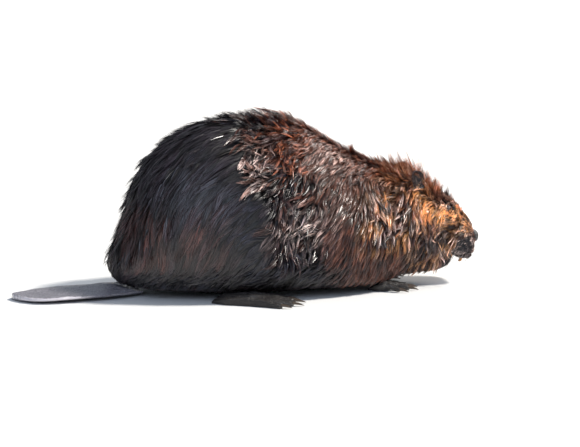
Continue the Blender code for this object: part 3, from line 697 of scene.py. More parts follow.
def refined(points, triangles, centres, reach):
    """Splits the faces near some places, for the face's small forms."""
    rough = triangle_object("rough", points, triangles)
    work = bmesh.new()
    work.from_mesh(rough.data)
    near = [edge for edge in work.edges if close_to(edge, centres, reach)]
    bmesh.ops.subdivide_edges(work, edges=near, cuts=1, use_grid_fill=True)
    bmesh.ops.triangulate(work, faces=[face for face in work.faces if len(face.verts) > 3])
    work.to_mesh(rough.data)
    work.free()
    found = arrays_of(rough.data)
    bpy.data.objects.remove(rough)
    return found


def close_to(edge, centres, reach):
    middle = (edge.verts[0].co + edge.verts[1].co) / 2
    return any((middle - centre).length < reach for centre in centres)


LID_THICKNESS = 0.0011


def with_lids(points):
    """Opens the skin at each eye and lays an upper and a lower lid over the eyeball."""
    for side, eye in EYES.items():
        slit, across, out = eye_axes(side)
        offset = points - eye
        a, b, c = offset @ slit, offset @ across, offset @ out
        flat = np.hypot(a, b)
        opening = np.sqrt((a / (EYE_RADIUS * 0.92)) ** 2 + (b / (EYE_RADIUS * 0.60)) ** 2)
        near = (flat < 0.030) & (c > -0.016)
        lid_radius = EYE_RADIUS + LID_THICKNESS
        over_ball = np.sqrt(np.maximum(lid_radius**2 - flat**2, (lid_radius * 0.42) ** 2))
        under_ball = np.sqrt(np.maximum((EYE_RADIUS - 0.0012) ** 2 - flat**2, 0.0)) - 0.0012
        wanted = np.where(opening < 1.0, under_ball, over_ball + 0.0005 * (b > 0.0))
        hold = near * fall(flat, EYE_RADIUS * 1.05, EYE_RADIUS * 3.6)
        moved = c * (1.0 - hold) + wanted * hold
        around = np.sqrt((a / 1.25) ** 2 + (b / 0.85) ** 2)
        fold = bell(around - EYE_RADIUS * 1.30, 0.0008) * near
        points = points + out * (moved - c - 0.0005 * fold)[:, None]
    return points


def behind_nose(points):
    """Draws the muzzle's front back, so that the nose pad stands out of it."""
    start = NOSE_LOW.x + 0.003
    points = points.copy()
    points[:, 0] = np.minimum(points[:, 0], start + 0.45 * (points[:, 0] - start))
    return points


def with_ear_roots(points, normals):
    """Raises the skin to meet the ears."""
    for side in SIDES:
        apart = np.linalg.norm(points - middle_of(f"ear_{side}"), axis=1)
        points = points + normals * (0.0065 * np.exp(-((apart / 0.017) ** 4)))[:, None]
    return points


def with_mouth(points, normals):
    """Cuts the mouth's cleft between the upper lip and the jaw, and rounds the lips beside it."""
    x, z = points[:, 0], points[:, 2]
    run = rise(x, JAW.x - 0.022, JAW.x - 0.006)
    above = np.abs(z - mouth_level(x))
    cut = bell(above, 0.0016) * run
    lip = bell(above - 0.0042, 0.0022) * run
    return points + normals * (0.0009 * lip - 0.0034 * cut)[:, None]


def make_skin():
    """The skin with its small forms: muzzle, ear roots, lids and mouth."""
    points, triangles = inset_flesh()
    points = smoothed(points, triangles, 3, 0.5, 1.0 - 0.6 * bare_face(points))
    points = behind_nose(points)
    muzzle = Vector(((JAW.x + NOSE_LOW.x) / 2, 0.0, JAW.z))
    centres = [Vector(eye) for eye in EYES.values()]
    points, triangles = refined(points, triangles, [*centres, muzzle], 0.036)
    points, triangles = refined(points, triangles, centres, 0.017)
    points = with_ear_roots(points, point_normals(points, triangles))
    points = with_lids(points)
    points = with_mouth(points, point_normals(points, triangles))
    return Surface(points, triangles)


def set_marks(mesh, values):
    """Numbers on a mesh's points, for its material to read by name."""
    for name, numbers in values.items():
        layer = mesh.attributes.new(name, "FLOAT", "POINT")
        layer.data.foreach_set("value", np.ascontiguousarray(numbers, np.float32))


def skin_piece(surface):
    """The skin as one piece, in place of the solids' flesh."""
    piece = triangle_object("skin", surface.points, surface.triangles)
    marks = markings(surface.points, surface.normals, surface.points)
    marks["tone"] = 0.36 + 0.06 * ripple(surface.points, 0.003, 31)
    set_marks(piece.data, marks)
    piece.data.materials.append(coat_material("coat_skin", 0.12, (0.70, 0.55), 0.0))
    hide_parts(*FLESH)
    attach(piece, "root")


# ---- The coat

RINGS = 5  # points along a strand, its tip among them
STRAND_TRIANGLES = 2 * (RINGS - 2) + 1
TAPER = np.array([0.75, 1.0, 0.85, 0.55])  # a strand's width along it, up to its tip
SPREAD_OUT = 0.06  # the share of strands that spread away from their lock's tip


def bunch_leads(roots, values, random):
    """For each lock, the lock that leads its bunch."""
    leads = np.flatnonzero(random.random(len(roots)) < (values["gap"] / values["bunch"]) ** 2)
    tree = KDTree(len(leads))
    for index, place in enumerate(roots[leads].tolist()):
        tree.insert(place, index)
    tree.balance()
    return leads[[tree.find(place)[1] for place in roots.tolist()]]


def lock_lines(surface, roots, normals, lengths, heights, way_at):
    """Each lock's middle line and its directions there, stepped along the skin with the lie of the coat."""
    count = RINGS + 1
    places, forward, upward = np.empty((3, len(roots), count, 3))
    on_skin, out = roots, normals
    step = lengths / (RINGS - 1)
    for ring in range(count):
        way = way_at(on_skin, out)
        places[:, ring] = on_skin + out * heights[:, ring, None]
        forward[:, ring] = way
        upward[:, ring] = out
        if ring + 1 < count:
            on_skin, out = surface.nearest(on_skin + way * step[:, None])
    return places, forward, upward


def bunched(lines, leads, values, random):
    """Draws each lock towards the lock that leads its bunch, more so towards the tip."""
    places, forward, upward = lines
    share = np.arange(RINGS + 1) / (RINGS - 1)
    apart = places[leads] - places
    lengthwise = np.sum(apart * forward, 2, keepdims=True) * forward
    pull = values["clump"][:, None] * random.uniform(0.8, 1.05, len(places))[:, None] * share**0.9
    places = places + (apart - 0.6 * lengthwise) * np.minimum(pull, 0.97)[..., None]
    return places, forward, upward


def lock_heights(values, lift):
    """How high the lock's middle line stands off the skin at each ring."""
    share = np.arange(RINGS + 1) / (RINGS - 1)
    droop = np.clip(0.9 - lift, 0.0, 0.6)[:, None]
    late = 0.75 + 0.55 * np.clip(lift - 0.8, 0.0, 1.0)[:, None]
    curve = share**late * (1.0 - droop * share**2)
    sunk = np.minimum(0.25 * values["depth"], 0.0008)
    return (values["depth"] * lift)[:, None] * curve - sunk[:, None]


def strands_of(lines, values, random):
    """Splits each lock into strands that start apart and gather towards its tip."""
    places, forward, upward = lines
    count = np.maximum(np.round(values["strands"] * random.uniform(0.7, 1.3, len(places))), 2).astype(int)
    lock = np.repeat(np.arange(len(places)), count)
    amount = len(lock)
    share = np.arange(RINGS) / (RINGS - 1)
    reach = random.uniform(0.70, 1.08, amount)
    at = share * reach[:, None] * (RINGS - 1)
    below = np.minimum(at.astype(int), RINGS - 1)
    part = (at - below)[..., None]

    def along_line(rows):
        return rows[lock[:, None], below] * (1.0 - part) + rows[lock[:, None], below + 1] * part

    middle = along_line(places)
    ahead = unit(along_line(forward))
    out = unit(along_line(upward))
    side = np.cross(out, ahead)
    spread = values["gap"][lock] * 0.75
    angle = random.uniform(0.0, math.tau, amount)
    radius = np.sqrt(random.random(amount)) * spread
    gather = np.clip(values["gather"][lock] * random.uniform(0.75, 1.1, amount), 0.0, 0.97)
    stray = random.random(amount) < SPREAD_OUT
    gather = np.where(stray, -0.6, gather)
    closing = 1.0 - gather[:, None] * share**0.8
    phase = random.uniform(0.0, math.tau, len(places))[lock]
    wave = values["wave"][lock][:, None] * np.sin(share * 5.0 + phase[:, None]) * share
    sideways = (np.cos(angle) * radius)[:, None] * closing + wave
    lengthways = (np.sin(angle) * radius)[:, None]
    raised = (random.uniform(-0.10, 0.28, amount) * values["depth"][lock])[:, None] * share**0.6
    path = middle + side * sideways[..., None] + ahead * lengthways[..., None] + out * raised[..., None]
    roll = np.radians(values["roll"][lock]) * random.normal(0.0, 0.8, amount)
    turned = side * np.cos(roll)[:, None, None] + out * np.sin(roll)[:, None, None]
    width = values["width"][lock] * random.uniform(0.7, 1.35, amount)
    across = turned[:, : RINGS - 1] * (width[:, None] * TAPER / 2)[..., None]
    return path, across, lock


def unrolled(points):
    """The skin opened out flat: along the body, and round it from the belly's middle."""
    along, up, wide = shares(points)
    round_body = np.arctan2(wide * HALF_WIDTH, (up - 0.45) * HEIGHT) / math.tau + 0.5
    return along, round_body


def strand_piece(name, path, across, tone, marks, material):
    """One joined mesh of tapered strands, with each strand's patch on the opened skin."""
    amount = len(path)
    body = RINGS - 1  # the tip is a single point
    per = body * 2 + 1
    points = np.empty((amount, per, 3))
    points[:, 0 : body * 2 : 2] = path[:, :body] - across
    points[:, 1 : body * 2 : 2] = path[:, :body] + across
    points[:, -1] = path[:, -1]
    quads = [[2 * k, 2 * k + 1, 2 * k + 3, 2 * k + 2] for k in range(body - 1)]
    pattern = np.array(sum(quads, []) + [2 * body - 2, 2 * body - 1, 2 * body])
    corners = (pattern[None, :] + np.arange(amount)[:, None] * per).ravel()
    first = np.array([4 * k for k in range(body)])
    starts = (first[None, :] + np.arange(amount)[:, None] * len(pattern)).ravel()
    piece = mesh_object(name, points.reshape(-1, 3), corners, starts)
    share = np.repeat(np.arange(body) / body, 2).tolist() + [1.0]
    values = {mark: np.repeat(numbers, per) for mark, numbers in marks.items()}
    values["tone"] = np.repeat(tone, per)
    values["along"] = np.tile(share, amount)
    set_marks(piece.data, values)
    add_patches(piece.data, path[:, 0], pattern, share)
    piece.data.materials.append(material)
    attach(piece, "root")
    return piece


def add_patches(mesh, roots, pattern, share):
    """The OFBake map: a small patch for each strand, at its root's place on the opened skin."""
    places = np.stack(unrolled(roots), 1)
    low, high = places.min(0), places.max(0)
    places = 0.004 + 0.992 * (places - low) / np.maximum(high - low, 1e-6)
    sideways = np.array([(-0.5, 0.5)[k % 2] for k in range(len(share) - 1)] + [0.0])
    patch = np.stack([sideways, np.array(share) - 0.5], 1) * UV_PATCH
    flat = (places[:, None, :] + patch[None, pattern, :]).reshape(-1, 2)
    layer = mesh.uv_layers.new(name="OFBake")
    layer.data.foreach_set("uv", np.ascontiguousarray(flat, np.float32).ravel())


def body_coat(surface):
    """The hair of the body, neck and head, parted into pieces."""
    random = np.random.default_rng(2)
    face_normals = unit(surface.normals[surface.triangles].mean(1))

    def density(points):
        return 1.0 / zone_values(points, face_normals)[0]["gap"] ** 2

    roots, normals = surface.scatter(density, random)
    keep = wanted_roots(roots)
    roots, normals = roots[keep], normals[keep]
    values, weights = zone_values(roots, normals)
    clumpy = weights["lower_cheek"] + weights["ruff"] + weights["tousled"]
    amount = len(roots)
    leads = bunch_leads(roots, values, random)
    shared_length = random.uniform(0.75, 1.15, amount)[leads]
    values["length"] = values["length"] * shared_length * random.uniform(0.88, 1.10, amount)
    sleek = weights["sleek"]
    rear = sleek * rise(0.6 * normals[:, 2] - 0.8 * normals[:, 0], 0.50, 0.80)
    wild = (random.random(amount) < 0.05 * (1.0 - sleek)) * random.uniform(0.3, 0.8, amount)
    apart = (random.random(amount) < 0.16 * rear) * random.uniform(0.8, 2.6, amount)
    raised = np.maximum(0.88 + values["uneven"] * (random.random(amount) - 0.5), 0.2)
    lift = values["lift"] * ((raised * (1.0 + wild))[leads] + apart)
    values["length"] = values["length"] * (1.0 - 0.18 * apart)
    values["clump"] = values["clump"] * (apart == 0.0)
    values["gather"] = np.maximum(values["gather"], 0.88 * (apart > 0.0))
    lift = lift * random.uniform(0.75, 1.10, amount)
    turn = 0.9 * random.normal(0.0, 1.0, amount)[leads] + 0.4 * random.normal(0.0, 1.0, amount)
    turn = np.radians(values["stray"] * turn)

    first_way = comb(roots, normals, weights)
    straight = (0.20 + 0.55 * (clumpy + weights["crest"]))[:, None]

    def way_at(points, out):
        way = (1.0 - straight) * comb(points, out, zone_weights(points, out)) + straight * first_way
        return swung(unit(along_skin(way, out)), out, turn)

    path, across, lock = grown(surface, roots, normals, leads, values, lift, way_at, random)
    kept = np.flatnonzero(random.random(len(lock)) < COAT_LIMIT / (len(lock) * STRAND_TRIANGLES))
    path, across, lock = path[kept], across[kept], lock[kept]
    shown = roots + first_way * (0.5 * values["length"])[:, None]
    marks = markings(roots[leads], normals[leads], shown[leads])
    marks["lip"] *= 0.0
    dark = 0.88 * clumpy * (random.random(amount) < 0.40)[leads] * (lip_line(*shares(roots)[:2]) < -0.026)
    marks["black"] = np.minimum(marks["black"] + dark, 1.0)
    for name, chance in {"golden": leads, "rufous": leads, "pale_and_glint": np.arange(amount)}.items():
        varied = random.uniform(0.20, 1.30, amount)[chance]
        varied = varied + (1.0 - varied) * (weights["cheek"] + 0.8 * sleek)
        marks[name] = np.clip(marks[name] * varied, 0.0, 1.0)
    marks = {name: numbers[lock] for name, numbers in marks.items()}
    contrast = 0.10 + 0.10 * sleek + 0.17 * clumpy + 0.12 * weights["muzzle"]
    tone = 0.5 + contrast * random.normal(0.0, 1.0, amount)[leads] + random.normal(0.0, 0.11, amount)
    lighter = {"cheek": 0.22, "ruff": 0.06, "crest": 0.09, "tousled": 0.07}
    tone += sum(more * weights[name] for name, more in lighter.items())
    # Painted highlight: strands lighter on the shoulder's top, where the sun glints
    tone += 0.07 * spot(roots, 0.60, 0.80, 0.085, 0.12)
    # Painted sheen and shade: sleek hair lighter where it faces up, and the belly's hair darker
    tone += 0.08 * sleek * rise(normals[:, 2], 0.35, 0.80) - 0.06 * weights["belly"]
    tone = np.clip(tone[lock] + random.normal(0.0, 0.18, len(lock)), 0.0, 1.0)
    for name, slot, chosen in coat_regions(roots[lock]):
        picks = np.flatnonzero(chosen)[: COAT_PIECE_LIMIT // STRAND_TRIANGLES]
        some = {mark: numbers[picks] for mark, numbers in marks.items()}
        strand_piece(name, path[picks], across[picks], tone[picks], some, HAIR_LOOK)


def grown(surface, roots, normals, leads, values, lift, way_at, random):
    """Strands for some roots: their paths, their half widths and the lock that each belongs to."""
    lines = lock_lines(surface, roots, normals, values["length"], lock_heights(values, lift), way_at)
    path, across, lock = strands_of(bunched(lines, leads, values, random), values, random)
    return inside_box(path), across, lock


def inside_box(path):
    """Keeps the strands off the floor and under the body's full height, without a flat cut."""
    path = path.copy()
    margin = 0.004
    soft = TOP - margin
    over = np.maximum(path[..., 2] - soft, 0.0)
    high = soft + margin * (1.0 - np.exp(-over / margin))
    path[..., 2] = np.where(over > 0.0, high, np.maximum(path[..., 2], FLOOR_GAP))
    return path


def wanted_roots(roots):
    """Leaves the eyes, the nose and the lips bare."""
    bare = (eye_distance(roots) <= EYE_RADIUS * 1.08) | (nose_distance(roots) <= 0.0006)
    return ~bare & (lips(roots) < 0.5)


def coat_regions(roots):
    """The coat's pieces: bands along the body, left and right."""
    along, _, _ = shares(roots)
    bands = {
        "rump": (-1.0, 0.22, "coat_body"),
        "flank": (0.22, 0.42, "coat_body"),
        "shoulder": (0.42, 0.62, "coat_shoulders"),
        "neck": (0.62, 0.79, "coat_shoulders"),
        "head": (0.79, 2.0, "coat_head"),
    }
    for band, (low, high, slot) in bands.items():
        for side, sign in SIDES.items():
            chosen = (along >= low) & (along < high) & (roots[:, 1] * sign > 0.0)
            yield f"coat_{band}_{side}", slot, chosen


# ---- Eyes, nose, ears

EYE_GRID, NOSE_GRID = (25, 40), (49, 72)  # rows and columns of points


def grid_faces(rows, columns):
    """Quads, as pairs of triangles, between rows of points that close round in the columns' direction."""
    made = []
    for row in range(rows - 1):
        for column in range(columns):
            a = row * columns + column
            b = row * columns + (column + 1) % columns
            made += [(a, b, b + columns), (a, b + columns, a + columns)]
    return np.array(made)


def globe(rows, columns):
    """Directions from a centre, in rows from the pole +Z to the pole -Z."""
    polar = np.linspace(0.0, math.pi, rows)[:, None]
    turn = np.linspace(0.0, math.tau, columns, endpoint=False)[None, :]
    spread = [np.sin(polar) * np.cos(turn), np.sin(polar) * np.sin(turn), np.cos(polar) + 0.0 * turn]
    return np.stack(spread, -1).reshape(-1, 3)


def make_eye(side):
    """An eyeball with a raised cornea, turned so that its pole looks out of the head."""
    slit, across, out = eye_axes(side)
    directions = globe(*EYE_GRID)
    from_pupil = np.arccos(np.clip(directions[:, 2], -1.0, 1.0)) / (math.pi / 2)
    cornea = 1.0 + 0.07 * np.exp(-((from_pupil / 0.42) ** 4))
    local = directions * (EYE_RADIUS * 0.99 * cornea)[:, None]
    points = local @ np.stack([slit, across * SIDES[side], out]) + EYES[side]
    piece = triangle_object(f"eyeball_{side}", points, grid_faces(*EYE_GRID))
    set_marks(piece.data, {"from_pupil": from_pupil})
    piece.data.materials.append(EYE_LOOK)
    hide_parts(f"eye_{side}")
    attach(piece, "root")


def make_nose():
    """The bare nose pad with its comma-shaped nostrils and middle groove."""
    directions = globe(*NOSE_GRID) @ np.array(Matrix.Rotation(math.radians(90.0), 3, "Y")).T
    points = directions * NOSE_HALF
    points[:, 0] = np.sign(directions[:, 0]) * np.abs(directions[:, 0]) ** 0.75 * NOSE_HALF[0]
    points[:, 1] *= 0.92 + 0.08 * directions[:, 2]
    depth = np.zeros(len(points))
    for sign in SIDES.values():
        hole, tail = (0.80, sign * 0.52, -0.05), (0.55, sign * 0.82, 0.22)
        for way, deep, width in ((hole, 0.0052, 0.20), (tail, 0.0022, 0.17)):
            depth += deep * bell(np.linalg.norm(directions - unit(np.array(way)), axis=1), width)
    groove = bell(directions[:, 1], 0.07) * rise(directions[:, 0], 0.2, 0.7)
    depth += 0.0010 * groove * rise(-directions[:, 2], -0.6, 0.1)
    points = points - directions * depth[:, None] + NOSE_MIDDLE
    piece = triangle_object("nose_pad", points, grid_faces(*NOSE_GRID))
    piece.data.materials.append(NOSE_LOOK)
    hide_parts("nose")
    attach(piece, "root")


def ear_axes(side):
    """The ear's own directions: the way its hollow faces, its width, and up its height."""
    sign = SIDES[side]
    lean = Matrix.Rotation(sign * math.radians(-30.0), 3, "X")
    back = Matrix.Rotation(math.radians(-22.0), 3, "Y")
    turn = Matrix.Rotation(sign * math.radians(68.0), 3, "Z") @ back @ lean
    return [np.array(turn @ Vector(axis)) for axis in ((1, 0, 0), (0, 1, 0), (0, 0, 1))]


def make_ear(side):
    """A round cupped ear with a rolled rim, thicker towards its root."""
    low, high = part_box(f"ear_{side}")
    centre = middle_of(f"ear_{side}")
    facing, wide, tall = ear_axes(side)
    half_tall, half_wide = (high.z - low.z) * 0.52, (high.z - low.z) * 0.42
    rings, columns = 19, 48
    share = np.linspace(0.0, 1.0, rings)[:, None]
    turn = np.linspace(0.0, math.tau, columns, endpoint=False)[None, :]
    ripples = 1.0 + 0.04 * np.sin(turn * 3.0 + 0.7) + 0.02 * np.sin(turn * 7.0)
    u = share * np.cos(turn) * half_tall * ripples
    v = share * np.sin(turn) * half_wide * ripples
    upper = rise(u / half_tall, -0.7, 0.3)
    cup = 0.0085 * share**2 * upper - 0.0040
    rim = 0.0013 * bell(share - 0.93, 0.06)
    thick = (0.0014 + 0.0050 * rise(-u / half_tall, -0.1, 0.8)) * (1.0 - share**6)
    fold = 0.0016 * bell(v + 0.25 * half_wide, 0.0024) * rise(-u / half_tall, -0.5, 0.5)
    front = cup + rim + fold * (1.0 - share**4)
    back = cup - thick - 0.0006
    sheets = []
    for deep in (front, back):
        points = centre + u[..., None] * tall + v[..., None] * wide + deep[..., None] * facing
        sheets.append(points.reshape(-1, 3))
    faces = grid_faces(rings, columns)
    outer = (rings - 1) * columns
    joined = [(outer + k, outer + (k + 1) % columns) for k in range(columns)]
    count = rings * columns
    seam = [(a, a + count, b + count) for a, b in joined] + [(a, b + count, b) for a, b in joined]
    triangles = np.concatenate([faces, faces[:, ::-1] + count, np.array(seam)])
    piece = triangle_object(f"ear_shell_{side}", np.concatenate(sheets), triangles)
    make_normals_outward(piece)
    piece.data.materials.append(EAR_LOOK)
    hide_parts(f"ear_{side}")
    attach(piece, "root")
    ear_coat(side, Surface(*arrays_of(piece.data)), centre, facing, tall)


EAR_HAIR = ZONES["muzzle"]._replace(depth=0.0016, gap=0.0016, strands=4, lift=1.0, width=0.0005)


def ear_coat(side, surface, centre, facing, tall):
    """Short dark hair over the ear's back and rim, standing past the rim."""
    random = np.random.default_rng(7)
    roots, normals = surface.scatter(lambda points: 1.0 / EAR_HAIR.gap**2, random)
    outside = (normals @ facing < 0.25) | (random.random(len(roots)) < 0.45)
    roots, normals = roots[outside], normals[outside]
    amount = len(roots)
    values = {name: np.full(amount, float(value)) for name, value in EAR_HAIR._asdict().items()}

    def way_at(points, out):
        return unit(along_skin(0.7 * tall + 0.7 * unit(points - centre) - 0.2 * facing, out))

    lift = random.uniform(0.7, 1.3, amount)
    path, across, lock = grown(surface, roots, normals, np.arange(amount), values, lift, way_at, random)
    marks = {name: np.zeros(len(lock)) for name in HAIR_COLOURS}
    marks["black"] += 0.62
    marks["rufous"] += 0.70 * random.random(len(lock))
    # A few pale hairs, partly real and partly painted highlight streaks on the wet ear
    marks["pale_and_glint"] += 0.45 * (random.random(len(lock)) < 0.22)
    tone = np.clip(random.normal(0.52, 0.24, len(lock)), 0.0, 1.0)
    strand_piece(f"coat_ear_{side}", path, across, tone, marks, HAIR_LOOK)


def make_normals_outward(piece):
    """Joins points that lie together, and turns every face outwards."""
    work = bmesh.new()
    work.from_mesh(piece.data)
    bmesh.ops.remove_doubles(work, verts=work.verts, dist=1e-6)
    bmesh.ops.recalc_face_normals(work, faces=work.faces)
    work.to_mesh(piece.data)
    work.free()
    piece.data.polygons.foreach_set("use_smooth", np.full(len(piece.data.polygons), True))


WHISKERS = 16  # on each side
WHISKER_WIDTH = 0.00056


def make_whiskers(surface):
    """Stiff bristles on the muzzle's sides, swept out, back and down."""
    random = np.random.default_rng(12)
    roots, ways = [], []
    for sign in SIDES.values():
        for _ in range(WHISKERS):
            along, up = random.uniform(0.925, 0.962), random.uniform(0.16, 0.25)
            start = Vector((RUMP_X + along * LENGTH, sign * 0.3, up * HEIGHT))
            place, normal, _, _ = surface.tree.ray_cast(start, Vector((0.0, -sign, 0.0)))
            roots.append(np.array(place))
            apart = random.normal(0.0, 0.2, 3)
            ways.append(unit(0.8 * np.array(normal) + apart + np.array((-0.35, 0.0, -0.1))))
    roots, ways = np.array(roots), np.array(ways)
    share = np.linspace(0.0, 1.0, RINGS)[None, :, None]
    length = random.uniform(0.018, 0.038, len(roots))[:, None, None]
    bend = np.array((-0.35, 0.0, -0.30))
    path = roots[:, None] + length * (ways[:, None] * share + bend * share**2)
    across = np.repeat(unit(np.cross(ways, bend))[:, None] * WHISKER_WIDTH / 2, RINGS - 1, 1)
    marks = {name: np.zeros(len(roots)) for name in HAIR_COLOURS}
    marks["pale_and_glint"] += 0.5
    strand_piece("coat_whiskers", path, across, np.full(len(roots), 0.6), marks, HAIR_LOOK)


# ---- Feet and tail


TOE_HEIGHT, WEB_DEPTH = 0.0020, 0.0012


def make_foot(node):
    """A foot's skin: the solid's shape with a round heel, toes raised out of the web, and wrinkles."""
    points, triangles = remeshed(*arrays_of(NODES[node].data), FOOT_VOXEL)
    low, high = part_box(node)
    points = smoothed(points, triangles, 4)
    way = unit(claw_roots(node).mean(0) - points[:, :2].mean(0))
    points = with_round_end(points, way, min(0.026, 0.3 * (high.x - low.x)), 0.20)
    normals = point_normals(points, triangles)
    top = rise(normals[:, 2], 0.1, 0.6)
    toes = toe_ridges(points, node, low, high)
    wrinkle = ripple(points, 0.0040, 41, (1.0, 3.0, 1.0))
    raised = TOE_HEIGHT * toes - WEB_DEPTH + 0.00025 * wrinkle
    points = points + normals * (top * raised)[:, None]
    points[:, 2] = np.maximum(points[:, 2], low.z)
    piece = triangle_object(f"{node}_skin", points, triangles)
    piece.data.materials.append(FOOT_LOOK)
    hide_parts(node)
    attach(piece, "root")


def with_round_end(points, way, reach, least_height):
    """Rounds a heel or the tail's tip, from above and from the side. way leads away from it."""
    side = np.array((-way[1], way[0]))
    ahead, across = points[:, :2] @ way, points[:, :2] @ side
    at_end = across[ahead < ahead.min() + reach]
    middle = (at_end.min() + at_end.max()) / 2
    behind = 1.0 - np.clip((ahead - ahead.min()) / reach, 0.0, 1.0)
    full = np.sqrt(np.maximum(1.0 - behind**2, 0.0))
    points = points.copy()
    points[:, :2] += ((middle - across) * 0.95 * (1.0 - full))[:, None] * side
    points[:, 2] *= least_height + (1.0 - least_height) * full
    return points


def claw_roots(node):
    """Where a foot's claws start, seen from above."""
    boxes = [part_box(name) for name in NODES if name.startswith(f"claw_{node}_")]
    return np.array([(low.x + 0.002, (low.y + high.y) / 2) for low, high in boxes])


def toe_ridges(points, node, low, high):
    """1 along the toes, from the heel to each claw's root, and 0 on the web between them."""
    heel = np.array((low.x + 0.15 * (high.x - low.x), (low.y + high.y) / 2))
    found = np.zeros(len(points))
    for root in claw_roots(node):
        way = root - heel
        share = np.clip((points[:, :2] - heel) @ way / (way @ way), 0.0, 1.0)
        apart = np.linalg.norm(points[:, :2] - heel - share[:, None] * way, axis=1)
        joints = 1.0 + 0.25 * np.sin(share * 22.0)
        found = np.maximum(found, joints * bell(apart, 0.0034) * rise(share, 0.15, 0.6))
    return found


def make_tail():
    """The flat tail: a raised rim, a low ridge along the middle and shallow folds."""
    points, triangles = remeshed(*arrays_of(NODES["tail_paddle"].data), TAIL_VOXEL)
    low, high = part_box("tail_paddle")
    points = with_round_end(smoothed(points, triangles, 6), np.array((1.0, 0.0)), 0.055, 1.0)
    normals = point_normals(points, triangles)
    aside = np.abs(points[:, 1] - (low.y + high.y) / 2)
    slots = 60
    slot = np.clip(((points[:, 0] - low.x) / (high.x - low.x) * slots).astype(int), 0, slots)
    half = np.zeros(slots + 1)
    np.maximum.at(half, slot, aside)
    inward = half[slot] - aside
    folds = ripple(points, 0.030, 43, (1.0, 0.4, 1.0))
    raised = 0.0026 * bell(inward - 0.004, 0.004) + 0.0010 * bell(aside, 0.010) + 0.0004 * folds
    top = rise(normals[:, 2], 0.2, 0.7)
    points = points + normals * (top * (raised - 0.0016))[:, None]
    points[:, 0] = np.maximum(points[:, 0], low.x + 0.002)
    points[:, 2] = np.maximum(points[:, 2], low.z)
    piece = triangle_object("tail_paddle_skin", points, triangles)
    # The rim's painted highlight, for the tail's material to read
    set_marks(piece.data, {"edge": np.clip(1.2 * bell(inward, 0.004), 0.0, 0.8)})
    piece.data.materials.append(TAIL_LOOK)
    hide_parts("tail_paddle")
    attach(piece, "root")
    return Surface(points, triangles)


SCALE_LENGTH, SCALE_WIDTH = 0.0050, 0.0038
SCALE_ROW = SCALE_LENGTH * 0.62  # from one row to the next, which it overlaps


def scale_places(surface):
    """Staggered rows of places on the tail's top and bottom."""
    low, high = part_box("tail_paddle")
    rows = int((high.x - low.x) / SCALE_ROW)
    columns = int((high.y - low.y) / SCALE_WIDTH) + 2
    random = np.random.default_rng(8)
    found = []
    for way in (1.0, -1.0):
        for row in range(rows):
            for column in range(columns):
                x = low.x + (row + 0.5) * SCALE_ROW
                y = low.y + (column + 0.5 * (row % 2)) * SCALE_WIDTH
                shift = random.normal(0.0, 0.00035, 2)
                start = Vector((x + shift[0], y + shift[1], way * 0.2))
                place, normal, _, _ = surface.tree.ray_cast(start, Vector((0.0, 0.0, -way)))
                if place is not None and abs(normal.z) > 0.965:
                    found.append((place, normal, random.uniform(0.8, 1.1)))
    return [np.array(column) for column in zip(*found)]


def make_scales(surface):
    """Small overlapping plates that point to the tail's tip."""
    places, normals, sizes = scale_places(surface)
    fan = np.stack([-np.ones(len(places)), 1.2 * places[:, 1], np.zeros(len(places))], 1)
    ahead = unit(along_skin(fan, normals))
    side = np.cross(normals, ahead)
    outline = [(-0.55, 0.30), (-0.10, 0.52), (0.32, 0.44), (0.58, 0.16)]
    rim = np.array(outline + [(a, -b) for a, b in reversed(outline)])
    height = np.where(rim[:, 0] < 0.0, -0.0005, 0.00022)
    rim_points = (
        places[:, None]
        + ahead[:, None] * (rim[None, :, 0] * SCALE_LENGTH * sizes[:, None])[..., None]
        + side[:, None] * (rim[None, :, 1] * SCALE_WIDTH * sizes[:, None])[..., None]
        + normals[:, None] * height[None, :, None]
    )
    crown = places + normals * 0.00030
    points = np.concatenate([rim_points, crown[:, None]], 1)
    per = len(rim) + 1
    pattern = np.array([(len(rim), k, (k + 1) % len(rim)) for k in range(len(rim))])
    triangles = (pattern[None] + np.arange(len(places))[:, None, None] * per).reshape(-1, 3)
    points = points.reshape(-1, 3)
    points[:, 0] = np.maximum(points[:, 0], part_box("tail_paddle")[0].x)
    points[:, 2] = np.maximum(points[:, 2], 0.0)
    piece = triangle_object("tail_scale_plates", points, triangles)
    piece.data.materials.append(TAIL_LOOK)
    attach(piece, "root")


def dress_horn():
    """Claws and incisors keep their solids and get horn and enamel."""
    for name, node in NODES.items():
        if name.startswith("claw_") or name == "incisors":
            node.data.materials.clear()
            node.data.materials.append(TOOTH_LOOK if name == "incisors" else HORN_LOOK)


# ---- Camera, floor and light

VIEW_AZIMUTH, VIEW_ELEVATION = -12.0, 10.0
VIEW_DISTANCE = 8.0
VIEW_LENS = 309.35
VIEW_ALONG, VIEW_UP = 0.4887, 0.3603  # the picture's middle, as shares of length and height


def add_camera():
    """The camera at the photo's angle, far off, with the photo's framing."""
    target = Vector((RUMP_X + VIEW_ALONG * LENGTH, 0.0, VIEW_UP * HEIGHT))
    azimuth, elevation = math.radians(VIEW_AZIMUTH), math.radians(VIEW_ELEVATION)
    flat = math.cos(elevation)
    back = Vector((math.sin(azimuth) * flat, -math.cos(azimuth) * flat, math.sin(elevation)))
    data = bpy.data.cameras.new("camera")
    data.lens = VIEW_LENS
    data.sensor_width = 36.0
    camera = new_object("camera", data)
    camera.location = target + back * VIEW_DISTANCE
    camera.rotation_mode = "QUATERNION"
    camera.rotation_quaternion = (-back).to_track_quat("-Z", "Y")
    bpy.context.scene.camera = camera


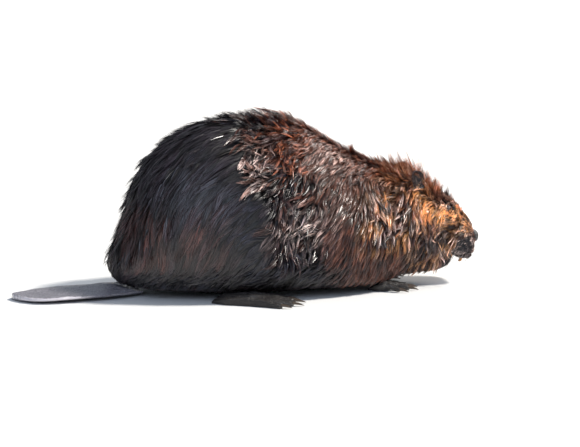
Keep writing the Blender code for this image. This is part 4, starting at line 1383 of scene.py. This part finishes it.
def add_floor():
    """A plain floor, out past the picture's edges."""
    half = 30.0
    corners = np.array([(-half, -half, 0), (half, -half, 0), (half, half, 0), (-half, half, 0)])
    floor = triangle_object("floor", corners, np.array([(0, 1, 2), (0, 2, 3)]))
    floor.data.materials.append(floor_material())


def add_light(name, kind, power, colour, back, **settings):
    """A light. back points from what it lights to the light."""
    data = bpy.data.lights.new(name, kind)
    data.energy = power
    data.color = colour
    for setting, value in settings.items():
        setattr(data, setting, value)
    light = new_object(name, data)
    light.rotation_mode = "QUATERNION"
    light.rotation_quaternion = (-back).to_track_quat("-Z", "Y")
    return light


def add_lights():
    """A low warm sun ahead of the beaver, a soft rim behind it, a blue sky light and an even world."""
    way = Vector((0.62, -0.14, 0.77))
    add_light("key", "SUN", 4.2, (1.0, 0.95, 0.88), way, angle=math.radians(8.0))
    aim = Vector((0.05, 0.0, 0.12))
    lamps = {
        "rim": (Vector((2.0, 2.0, 1.8)), 1.6, 40.0, (1.0, 0.97, 0.93)),
        "sky": (Vector((-1.0, -2.4, 1.8)), 2.2, 26.0, (0.64, 0.76, 1.0)),
    }
    for name, (place, size, power, colour) in lamps.items():
        lamp = add_light(name, "AREA", power, colour, place - aim, shape="DISK", size=size)
        lamp.location = place
    world = bpy.data.worlds.new("studio")
    world.use_nodes = True
    background = world.node_tree.nodes["Background"]
    background.inputs["Color"].default_value = (0.80, 0.88, 1.0, 1.0)
    background.inputs["Strength"].default_value = 0.35
    bpy.context.scene.world = world
    bpy.context.scene.view_settings.view_transform = "Standard"


# ---- Everything together

EYE_LOOK = eye_material()
HAIR_LOOK = coat_material("coat_hair", None)
NOSE_LOOK, EAR_LOOK, FOOT_LOOK = [leather_material(kind) for kind in ("nose", "ear", "foot")]
TAIL_LOOK = leather_material("tail", TAIL_RIM_HIGHLIGHT)
HORN_LOOK = horn_material()
TOOTH_LOOK = tooth_material()

add_camera()
add_floor()
add_lights()
SKIN = make_skin()
skin_piece(SKIN)
body_coat(SKIN)
for each_side in SIDES:
    make_eye(each_side)
    make_ear(each_side)
    make_foot(f"hindfoot_{each_side}")
    make_foot(f"forefoot_{each_side}")
make_nose()
make_whiskers(SKIN)
make_scales(make_tail())
dress_horn()
